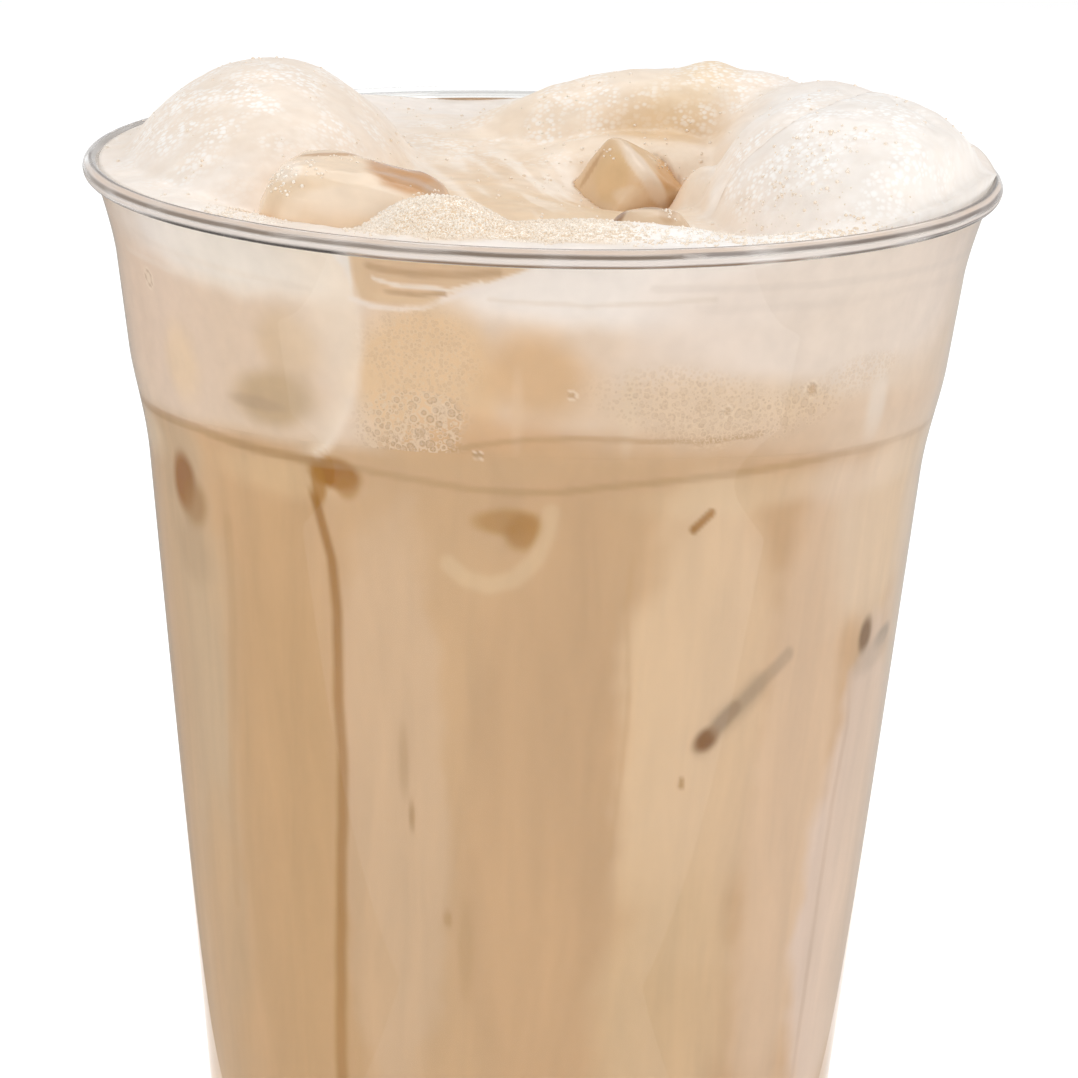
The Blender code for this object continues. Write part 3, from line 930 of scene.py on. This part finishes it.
def chaiMaterial():
    # milky tea behind the wall: dense, softly streaked from top to bottom
    material, tree = newMaterial("milkyTea")
    colour = addNode(tree, "ShaderNodeAttribute", {"attribute_name": "colour"})
    place = addNode(tree, "ShaderNodeTexCoord")
    # streaks 4 mm wide and nine times as long, and fine clouds of 1 mm
    stretched = addNode(tree, "ShaderNodeMapping", inputs={
        "Vector": place.outputs["Object"], "Scale": (1, 1, 0.11)})
    streaks = addNode(tree, "ShaderNodeTexNoise", inputs={
        "Vector": stretched.outputs[0], "Scale": 260.0, "Detail": 4.0, "Roughness": 0.55,
        "Distortion": 0.4})
    fine = addNode(tree, "ShaderNodeTexNoise", inputs={
        "Vector": place.outputs["Object"], "Scale": 900.0, "Detail": 3.0, "Roughness": 0.6})
    blend = addNode(tree, "ShaderNodeMix", {"data_type": "FLOAT"}, {
        0: 0.12, 2: streaks.outputs[0], 3: fine.outputs[0]})
    value = addNode(tree, "ShaderNodeMapRange", inputs={
        "Value": blend.outputs[0], "From Min": 0.3, "From Max": 0.7, "To Min": 0.93, "To Max": 1.07})
    tint = addNode(tree, "ShaderNodeVectorMath", {"operation": "SCALE"}, {
        0: colour.outputs["Color"], "Scale": value.outputs[0]})
    body = addNode(tree, "ShaderNodeBsdfPrincipled", inputs={
        "Base Color": tint.outputs[0], "Roughness": 0.6, "Specular IOR Level": 0.0})
    finishMaterial(tree, body.outputs[0])
    return material


def cellSet(tree, spot, scale, spread):
    # round cells of many sizes: how far each place lies from its cell's middle, from 0
    cells = addNode(tree, "ShaderNodeTexVoronoi", {"feature": "F1"}, {
        "Vector": spot, "Scale": scale, "Randomness": 0.95})
    pick = addNode(tree, "ShaderNodeSeparateColor", inputs={0: cells.outputs["Color"]})
    size = addNode(tree, "ShaderNodeMapRange", inputs={
        "Value": pick.outputs[0], "To Min": 1 - spread, "To Max": 1 + spread})
    away = addNode(tree, "ShaderNodeMath", {"operation": "MULTIPLY"}, {
        0: cells.outputs["Distance"], 1: size.outputs[0]})
    return away.outputs[0]


def band(tree, value, low, high, soft):
    # 1 between two values of the distance, with soft ends
    rise = addNode(tree, "ShaderNodeMapRange", {"interpolation_type": "SMOOTHSTEP"}, {
        "Value": value, "From Min": low - soft, "From Max": low + soft})
    fall = addNode(tree, "ShaderNodeMapRange", {"interpolation_type": "SMOOTHSTEP"}, {
        "Value": value, "From Min": high - soft, "From Max": high + soft, "To Min": 1.0, "To Max": 0.0})
    both = addNode(tree, "ShaderNodeMath", {"operation": "MULTIPLY"}, {
        0: rise.outputs[0], 1: fall.outputs[0]})
    return both.outputs[0]


def paint(tree, under, mask, strength, tone):
    share = addNode(tree, "ShaderNodeMath", {"operation": "MULTIPLY"}, {0: mask, 1: strength})
    laid = addNode(tree, "ShaderNodeMix", {"data_type": "RGBA"}, {
        0: share.outputs[0], 6: under, 7: (*linear(tone), 1)})
    return laid.outputs[2]


def foamMaterial():
    # milk froth: near-white and matt, made of bubbles of 0.3 to 1.5 mm that show at the wall
    material, tree = newMaterial("milkFroth")
    colour, onTop, bubbles, flecksAndGlints, froth = (
        addNode(tree, "ShaderNodeAttribute", {"attribute_name": name})
        for name in ("colour", "onTop", "bubbles", "flecksAndGlints", "froth"))
    place = addNode(tree, "ShaderNodeTexCoord")
    spot = place.outputs["Object"]
    # soft clouds of 3 mm everywhere
    clouds = addNode(tree, "ShaderNodeTexNoise", inputs={
        "Vector": spot, "Scale": 330.0, "Detail": 2.0, "Roughness": 0.6})
    shade = addNode(tree, "ShaderNodeMapRange", inputs={
        "Value": clouds.outputs[0], "From Min": 0.3, "From Max": 0.7, "To Min": 0.965, "To Max": 1.035})
    tint = addNode(tree, "ShaderNodeVectorMath", {"operation": "SCALE"}, {
        0: colour.outputs["Color"], "Scale": shade.outputs[0]})
    # bubbles on top: pale flecks in cells of 0.7 and 0.4 mm, about the finest that show; the wider ones are
    # partly painted glints
    wide = cellSet(tree, spot, 1500.0, 0.4)
    fine = cellSet(tree, spot, 2700.0, 0.35)
    flecks = band(tree, wide, -1.0, 0.40, 0.22)
    topTone = paint(tree, tint.outputs[0], flecks, flecksAndGlints.outputs["Fac"], "#FFFDFA")
    topTone = paint(tree, topTone, band(tree, fine, 0.34, 0.62, 0.07), froth.outputs["Fac"], "#FFF8EE")
    # bubbles against the wall, in cells of 0.4 mm and, where they lie thickest, of 1 mm:
    # a brownish outline and a light ring
    many = addNode(tree, "ShaderNodeMapRange", inputs={
        "Value": bubbles.outputs["Fac"], "From Min": 0.7, "From Max": 0.85})
    wallTone = tint.outputs[0]
    for scale, amount in ((2300.0, bubbles.outputs["Fac"]), (1050.0, many.outputs[0])):
        away = cellSet(tree, spot, scale, 0.45)
        wallTone = paint(tree, wallTone, band(tree, away, 0.36, 0.50, 0.05), amount, "#E6CFB2")
        thin = addNode(tree, "ShaderNodeMath", {"operation": "MULTIPLY"}, {0: amount, 1: 0.45})
        wallTone = paint(tree, wallTone, band(tree, away, -1.0, 0.30, 0.05), thin.outputs[0], "#D2B695")
        wallTone = paint(tree, wallTone, band(tree, away, 0.27, 0.33, 0.04), thin.outputs[0], "#AB8B68")
    bump = addNode(tree, "ShaderNodeBump", inputs={
        "Strength": 0.35, "Distance": 0.0004, "Height": clouds.outputs[0]})
    top = addNode(tree, "ShaderNodeBsdfPrincipled", inputs={
        "Base Color": topTone, "Roughness": 0.35, "Specular IOR Level": 0.25, "Normal": bump.outputs[0]})
    side = addNode(tree, "ShaderNodeBsdfPrincipled", inputs={
        "Base Color": wallTone, "Roughness": 0.6, "Specular IOR Level": 0.0})
    mix = addNode(tree, "ShaderNodeMixShader", inputs={
        0: onTop.outputs["Fac"], 1: side.outputs[0], 2: top.outputs[0]})
    finishMaterial(tree, mix.outputs[0])
    return material


def iceMaterial():
    # melting ice wetted by the tea: glossy, milky inside, clearer and browner at its edges, the browner
    # edges partly painted shade for the darker room they mirror, with clouds of 5 mm
    material, tree = newMaterial("wetIce")
    colour = addNode(tree, "ShaderNodeAttribute", {"attribute_name": "colour"})
    place = addNode(tree, "ShaderNodeTexCoord")
    clouds = addNode(tree, "ShaderNodeTexNoise", inputs={
        "Vector": place.outputs["Object"], "Scale": 210.0, "Detail": 3.0})
    shade = addNode(tree, "ShaderNodeMapRange", inputs={
        "Value": clouds.outputs[0], "From Min": 0.35, "From Max": 0.65, "To Min": 0.95, "To Max": 1.05})
    tint = addNode(tree, "ShaderNodeVectorMath", {"operation": "SCALE"}, {
        0: colour.outputs["Color"], "Scale": shade.outputs[0]})
    dents = addNode(tree, "ShaderNodeBump", inputs={
        "Strength": 0.2, "Distance": 0.001, "Height": clouds.outputs[0]})
    body = addNode(tree, "ShaderNodeBsdfPrincipled", inputs={
        "Base Color": tint.outputs[0], "Roughness": 0.16, "IOR": 1.31, "Transmission Weight": 0.12,
        "Specular IOR Level": 0.35, "Normal": dents.outputs[0]})
    through = addNode(tree, "ShaderNodeBsdfTransparent", inputs={"Color": (*linear("#F0DCC0"), 1)})
    path = addNode(tree, "ShaderNodeLightPath")
    mix = addNode(tree, "ShaderNodeMixShader", inputs={
        0: path.outputs["Is Shadow Ray"], 1: body.outputs[0], 2: through.outputs[0]})
    finishMaterial(tree, mix.outputs[0])
    return material


# Ice blocks: the solids' rounded blocks with a melted surface.
# Middle from the rim's middle, size in mm and turns in degrees are those of the solids.
# Marks lie on the side that faces the front and up: across, up, half-widths, turn, colour, strength.

iceForm = {
    "ice_left": {
        "middle": (-18.8, -27, -3.2), "size": (20, 16, 14), "turns": (4, 12, -6),
        "core": "#F0DABF", "edge": "#DDBD99", "edgeStrength": 0.5,
        "marks": [(-13.8, -4.2, 4.2, 2.0, -20, "#C59057", 0.95),
                  (-10.4, -5.8, 1.5, 1.5, -40, "#C9A27A", 0.8),
                  (-26.9, -5.6, 1.9, 2.8, 25, "#EAD2B4", 0.7), (-19, -7.6, 5.0, 1.8, 0, "#F3E0CA", 0.8),
                  (-21.5, -2.1, 3.6, 0.22, 4, "#C39C74", 0.8), (-14.2, -3.0, 3.6, 0.2, -14, "#B48D67", 0.9),
                  (-25.6, -4.2, 1.4, 1.2, 0, "#FBF1E6", 0.5)],
        "froth": [(-26, -5.5, 1.8, 1.6, 0.9), (-23.5, -4.4, 1.6, 1.2, 0.7), (-20, -2.6, 5, 0.5, 0.4),
                  (-12, -6.6, 2.2, 1.2, 0.5)],
    },
    "ice_middle": {
        "middle": (9.6, 3.5, -4.2), "size": (9, 9, 8.5), "turns": (28, 24, 42),
        "core": "#E3C5A0", "edge": "#E8CDAA", "edgeStrength": 0.4,
        "marks": [(7.4, -1.6, 1.9, 3.0, 0, "#E1C195", 0.9), (14.0, -0.6, 1.9, 2.2, 0, "#D9A565", 0.95),
                  (11.0, -1.4, 0.95, 4.4, 34, "#F3E0CA", 0.95), (9.6, -3.8, 1.8, 1.2, 0, "#EDD6B9", 0.7),
                  (5.2, -0.6, 0.22, 2.6, -30, "#C7A27A", 0.7)],
        "froth": [(7.0, 1.0, 1.0, 0.6, 0.6), (13.5, 0.5, 1.5, 1.0, 0.35)],
    },
    "ice_right": {
        "middle": (11, -26, -4.2), "size": (9, 8, 9), "turns": (6, 8, 20),
        "core": "#DEC4A6", "edge": "#C8A885", "edgeStrength": 0.4,
        "marks": [(7.6, -7.9, 0.6, 1.6, -35, "#A17C5A", 0.95), (11.0, -6.7, 2.6, 0.22, 0, "#A98663", 0.8),
                  (12.8, -7.6, 0.8, 0.9, 0, "#C9AA89", 0.8)],
        "froth": [(13.0, -7.6, 1.2, 0.7, 0.8)],
    },
}
frontTilt = 0.264    # how much a place further back shows higher, seen from the front and above
melt = {
    "voxel": 0.35 * mm,
    "soften": 0.6,
    "passes": 10,
    "lumps": 0.35,             # mm
    "dents": 0.14,
}


def iceColours(points, form):
    # points in mm from the rim's middle
    turns = [Matrix.Rotation(math.radians(a), 3, axis) for a, axis in zip(form["turns"], "XYZ")]
    facing = np.array(turns[2] @ turns[1] @ turns[0])
    local = (points - np.array(form["middle"])) @ facing / (np.array(form["size"]) / 2)
    second = np.sort(np.abs(local), axis=1)[:, 1]
    # browner along the block's edges: partly the tea through thin ice, partly painted shade where the edges
    # mirror a darker room
    edge = smoothStep((second + 0.06 * noiseAt(points, 2.5, 30) - 0.66) / 0.22) * form["edgeStrength"]
    colours = lay(plain(points, form["core"]), edge, form["edge"])
    wobble = noiseAt(points, 2.2, 31)
    up = points[:, 2] + frontTilt * points[:, 1]
    for markX, markUp, halfX, halfUp, turn, tone, strength in form["marks"]:
        distance = turnedDistance(points[:, 0] - markX, up - markUp, halfX, halfUp, turn)
        mask = smoothStep((1.25 - distance * (1 + 0.2 * wobble)) / 0.5) * strength
        colours = lay(colours, mask, tone)
    return colours


def iceFroth(points, form):
    up = points[:, 2] + frontTilt * points[:, 1]
    amount = np.zeros(len(points))
    for markX, markUp, halfX, halfUp, strength in form["froth"]:
        away = np.hypot((points[:, 0] - markX) / halfX, (up - markUp) / halfUp)
        amount = np.maximum(amount, smoothStep(1.4 - away) * strength)
    return amount


def makeIce(name, material):
    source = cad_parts[name]
    work = bmesh.new()
    work.from_mesh(source.data)
    bmesh.ops.transform(work, matrix=source.matrix_world, verts=work.verts)
    bmesh.ops.remove_doubles(work, verts=work.verts, dist=0.01 * mm)
    mesh = bpy.data.meshes.new(name + "Block")
    work.to_mesh(mesh)
    work.free()
    block = bpy.data.objects.new(name + "Block", mesh)
    bpy.context.scene.collection.objects.link(block)
    remesh = block.modifiers.new("melt", "REMESH")
    remesh.mode = "VOXEL"
    remesh.voxel_size = melt["voxel"]
    soften = block.modifiers.new("soften", "SMOOTH")
    soften.factor = melt["soften"]
    soften.iterations = melt["passes"]
    piece = asMesh(block, name + "Melting")
    count = len(piece.data.vertices)
    points = np.empty(count * 3)
    piece.data.vertices.foreach_get("co", points)
    points = points.reshape(-1, 3)
    normals = np.array([tuple(v.normal) for v in piece.data.vertices])
    relief = melt["lumps"] * noiseAt(points / mm, 6, 20) + melt["dents"] * noiseAt(points / mm, 2.4, 21)
    points = points + normals * (relief * mm)[:, None]
    piece.data.vertices.foreach_set("co", points.ravel())
    piece.data.update()
    piece.data.shade_smooth()
    flat = points / mm - np.array([0, 0, rimHeight / mm])
    addColours(piece, "colour", iceColours(flat, iceForm[name]))
    addValues(piece, "froth", iceFroth(flat, iceForm[name]))
    piece.data.materials.append(material)
    return piece


# Froth: fine bubbles that stand on the foam and the ice, scattered by a density attribute

frothForm = {
    "density": 9.8,            # bubbles in each square mm where the attribute is 1
    "onIce": 3.6,              # the same for the ice
    "smallest": 0.07 * mm,     # radius
    "largest": 0.24 * mm,
    "rarity": 2.2,             # of the large ones: a power of the even draw
    "seed": 5,
    "segments": 6,
    "rings": 4,
}


def bubbleMaterial():
    # wet milk bubbles: white with a small bright gleam, tanner in patches of 5 mm
    material, tree = newMaterial("wetBubbles")
    place = addNode(tree, "ShaderNodeTexCoord")
    clouds = addNode(tree, "ShaderNodeTexNoise", inputs={
        "Vector": place.outputs["Object"], "Scale": 180.0, "Detail": 1.0})
    tint = addNode(tree, "ShaderNodeMix", {"data_type": "RGBA"}, {
        0: clouds.outputs[0], 6: (*linear("#EBD3B5"), 1), 7: (*linear("#FFFAF2"), 1)})
    shell = addNode(tree, "ShaderNodeBsdfPrincipled", inputs={
        "Base Color": tint.outputs[2], "Roughness": 0.12, "Specular IOR Level": 0.6})
    finishMaterial(tree, shell.outputs[0])
    return material


def bubbleTree():
    tree = bpy.data.node_groups.new("scatteredBubbles", "GeometryNodeTree")
    face = tree.interface
    face.new_socket("Geometry", in_out="INPUT", socket_type="NodeSocketGeometry")
    for name, kind in (("Density", "Float"), ("Smallest", "Float"), ("Largest", "Float"), ("Seed", "Int"),
                       ("Segments", "Int"), ("Rings", "Int"), ("Material", "Material")):
        face.new_socket(name, in_out="INPUT", socket_type="NodeSocket" + kind)
    face.new_socket("Geometry", in_out="OUTPUT", socket_type="NodeSocketGeometry")
    given = addNode(tree, "NodeGroupInput").outputs
    mask = addNode(tree, "GeometryNodeInputNamedAttribute", {"data_type": "FLOAT"}, {"Name": "froth"})
    density = addNode(tree, "ShaderNodeMath", {"operation": "MULTIPLY"}, {
        0: mask.outputs[0], 1: given["Density"]})
    points = addNode(tree, "GeometryNodeDistributePointsOnFaces", inputs={
        "Mesh": given["Geometry"], "Density": density.outputs[0], "Seed": given["Seed"]})
    draw = addNode(tree, "FunctionNodeRandomValue", {"data_type": "FLOAT"}, {"Seed": given["Seed"]})
    fewLarge = addNode(tree, "ShaderNodeMath", {"operation": "POWER"}, {
        0: draw.outputs[1], 1: frothForm["rarity"]})
    size = addNode(tree, "ShaderNodeMapRange", inputs={
        "Value": fewLarge.outputs[0], "To Min": given["Smallest"], "To Max": given["Largest"]})
    ball = addNode(tree, "GeometryNodeMeshUVSphere", inputs={
        "Segments": given["Segments"], "Rings": given["Rings"], "Radius": 1.0})
    placed = addNode(tree, "GeometryNodeInstanceOnPoints", inputs={
        "Points": points.outputs["Points"], "Instance": ball.outputs["Mesh"],
        "Rotation": points.outputs["Rotation"], "Scale": size.outputs[0]})
    real = addNode(tree, "GeometryNodeRealizeInstances", inputs={"Geometry": placed.outputs[0]})
    soft = addNode(tree, "GeometryNodeSetShadeSmooth", inputs={0: real.outputs[0]})
    coated = addNode(tree, "GeometryNodeSetMaterial", inputs={
        "Geometry": soft.outputs[0], "Material": given["Material"]})
    addNode(tree, "NodeGroupOutput", inputs={0: coated.outputs[0]})
    return tree


def scatterBubbles(host, tree, material, name, density, seed):
    form = frothForm
    guide = bpy.data.objects.new(name + "Guide", host.data.copy())
    bpy.context.scene.collection.objects.link(guide)
    scatter = guide.modifiers.new("bubbles", "NODES")
    scatter.node_group = tree
    values = {"Density": density / mm ** 2, "Smallest": form["smallest"], "Largest": form["largest"],
              "Seed": seed, "Segments": form["segments"], "Rings": form["rings"], "Material": material}
    for item in tree.interface.items_tree:
        if item.in_out == "INPUT" and item.name in values:
            scatter[item.identifier] = values[item.name]
    return asMesh(guide, name)


# Stage: pale floor, soft light, camera

view = {
    "distance": 500 * mm,      # in front of the cup's axis
    "aboveRim": 90 * mm,
    "pitch": 14.77,            # degrees down
    "yaw": 0.075,
    "roll": 1.57,
    "lens": 158.3,
    "sensor": 36,
}


def makeCamera():
    pitch, yaw, roll = (math.radians(view[k]) for k in ("pitch", "yaw", "roll"))
    forward = Vector((math.sin(yaw) * math.cos(pitch), math.cos(yaw) * math.cos(pitch), -math.sin(pitch)))
    right = forward.cross(Vector((0, 0, 1))).normalized()
    up = right.cross(forward)
    tilted = math.cos(roll) * right + math.sin(roll) * up
    upright = math.cos(roll) * up - math.sin(roll) * right
    camera = bpy.data.cameras.new("camera")
    camera.lens = view["lens"]
    camera.sensor_width = view["sensor"]
    camera.clip_start = 0.01
    holder = bpy.data.objects.new("camera", camera)
    bpy.context.scene.collection.objects.link(holder)
    place = Matrix((tilted, upright, -forward)).transposed().to_4x4()
    place.translation = (0, -view["distance"], rimHeight + view["aboveRim"])
    holder.matrix_world = place
    bpy.context.scene.camera = holder


def makeFloor():
    bpy.ops.mesh.primitive_plane_add(size=14)
    floor = bpy.context.object
    floor.name = "paleFloor"
    material, tree = newMaterial("paleCard")
    card = addNode(tree, "ShaderNodeBsdfPrincipled", inputs={
        "Base Color": (*linear("#FAFAFA"), 1), "Roughness": 0.8, "Specular IOR Level": 0.1,
        "Emission Color": (1, 1, 1, 1), "Emission Strength": 0.22})
    finishMaterial(tree, card.outputs[0])
    floor.data.materials.append(material)


def addSoftLight(name, place, target, size, power):
    light = bpy.data.lights.new(name, "AREA")
    light.shape = "RECTANGLE"
    light.size, light.size_y = size
    light.energy = power
    holder = bpy.data.objects.new(name, light)
    holder.location = place
    holder.rotation_euler = (Vector(target) - Vector(place)).to_track_quat("-Z", "Y").to_euler()
    holder.visible_transmission = False
    bpy.context.scene.collection.objects.link(holder)


def addGreyCard(name, side, brightness):
    # a card on the floor beside the cup that only reflections see; it draws the edges of the clear wall
    near, far, reach = 0.075, 0.9, 0.9
    corners = ((near, -0.1), (far, -0.1), (far, reach), (near, reach))
    card = meshPiece(name, [(side * x, y, 0.001) for x, y in corners], [(0, 1, 2, 3)], smooth=False)
    material, tree = newMaterial("greyCard")
    place = addNode(tree, "ShaderNodeTexCoord")
    parts = addNode(tree, "ShaderNodeSeparateXYZ", inputs={0: place.outputs["Object"]})
    across = addNode(tree, "ShaderNodeMath", {"operation": "ABSOLUTE"}, {0: parts.outputs["X"]})
    steep = addNode(tree, "ShaderNodeMath", {"operation": "DIVIDE"}, {
        0: parts.outputs["Y"], 1: across.outputs[0]})
    fade = addNode(tree, "ShaderNodeMapRange", {"interpolation_type": "SMOOTHSTEP"}, {
        "Value": steep.outputs[0], "From Min": 0.1, "From Max": 1.1, "To Min": 0.95, "To Max": brightness})
    glow = addNode(tree, "ShaderNodeEmission", inputs={
        "Color": (*linear("#F4EFEA"), 1), "Strength": fade.outputs[0]})
    finishMaterial(tree, glow.outputs[0])
    card.data.materials.append(material)
    card.visible_camera = card.visible_diffuse = card.visible_transmission = card.visible_shadow = False


def makeLight():
    world = bpy.data.worlds.new("studio")
    bpy.context.scene.world = world
    world.use_nodes = True
    tree = world.node_tree
    tree.nodes.clear()
    place = addNode(tree, "ShaderNodeTexCoord")
    parts = addNode(tree, "ShaderNodeSeparateXYZ", inputs={0: place.outputs["Generated"]})
    # the camera's side of the room is darker, which draws the rim
    side = addNode(tree, "ShaderNodeMapRange", inputs={
        "Value": parts.outputs["Y"], "From Min": -0.9, "From Max": -0.05, "To Min": 0.2, "To Max": 0.78})
    background = addNode(tree, "ShaderNodeBackground", inputs={
        "Color": (1, 1, 1, 1), "Strength": side.outputs[0]})
    addNode(tree, "ShaderNodeOutputWorld", inputs={0: background.outputs[0]})
    middle = (0, 0, rimHeight)
    addSoftLight("keyLeft", (-0.75, -0.75, 0.6), middle, (0.8, 0.8), 5.0)
    addSoftLight("fillRight", (0.85, -0.7, 0.5), middle, (0.7, 0.8), 5.4)
    addSoftLight("topBack", (0.1, 0.7, 0.9), middle, (0.9, 0.5), 2.6)
    addGreyCard("greyCardLeft", -1, 0.42)
    addGreyCard("greyCardRight", 1, 0.62)


bpy.context.scene.view_settings.view_transform = "Standard"
makeCamera()
makeFloor()
makeLight()
print("stage set")

cup = makeCup()
cup.data.materials.append(clearPet())
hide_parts("cup")
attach(cup, "root")
print("cup turned:", len(cup.data.polygons), "faces")

chai = makeDrink()
chai.data.materials.append(chaiMaterial())
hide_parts("chai")
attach(chai, "root")
print("drink poured:", len(chai.data.polygons), "faces")

foam = makeFoam()
foam.data.materials.append(foamMaterial())
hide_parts("foam")
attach(foam, "root")
print("foam laid:", len(foam.data.polygons), "faces")

wetIce = iceMaterial()
wetBubbles = bubbleMaterial()
scatter = bubbleTree()
for nodeName in iceForm:
    block = makeIce(nodeName, wetIce)
    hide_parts(nodeName)
    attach(block, "root")
    drops = scatterBubbles(block, scatter, wetBubbles, nodeName + "Bubbles", frothForm["onIce"],
                           frothForm["seed"] + 1)
    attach(drops, "root")
    print("ice melted:", nodeName, len(block.data.polygons), "faces,", len(drops.data.polygons),
          "on its bubbles")

bubbles = scatterBubbles(foam, scatter, wetBubbles, "foamBubbles", frothForm["density"], frothForm["seed"])
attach(bubbles, "root")
print("bubbles on the foam:", len(bubbles.data.polygons), "faces")
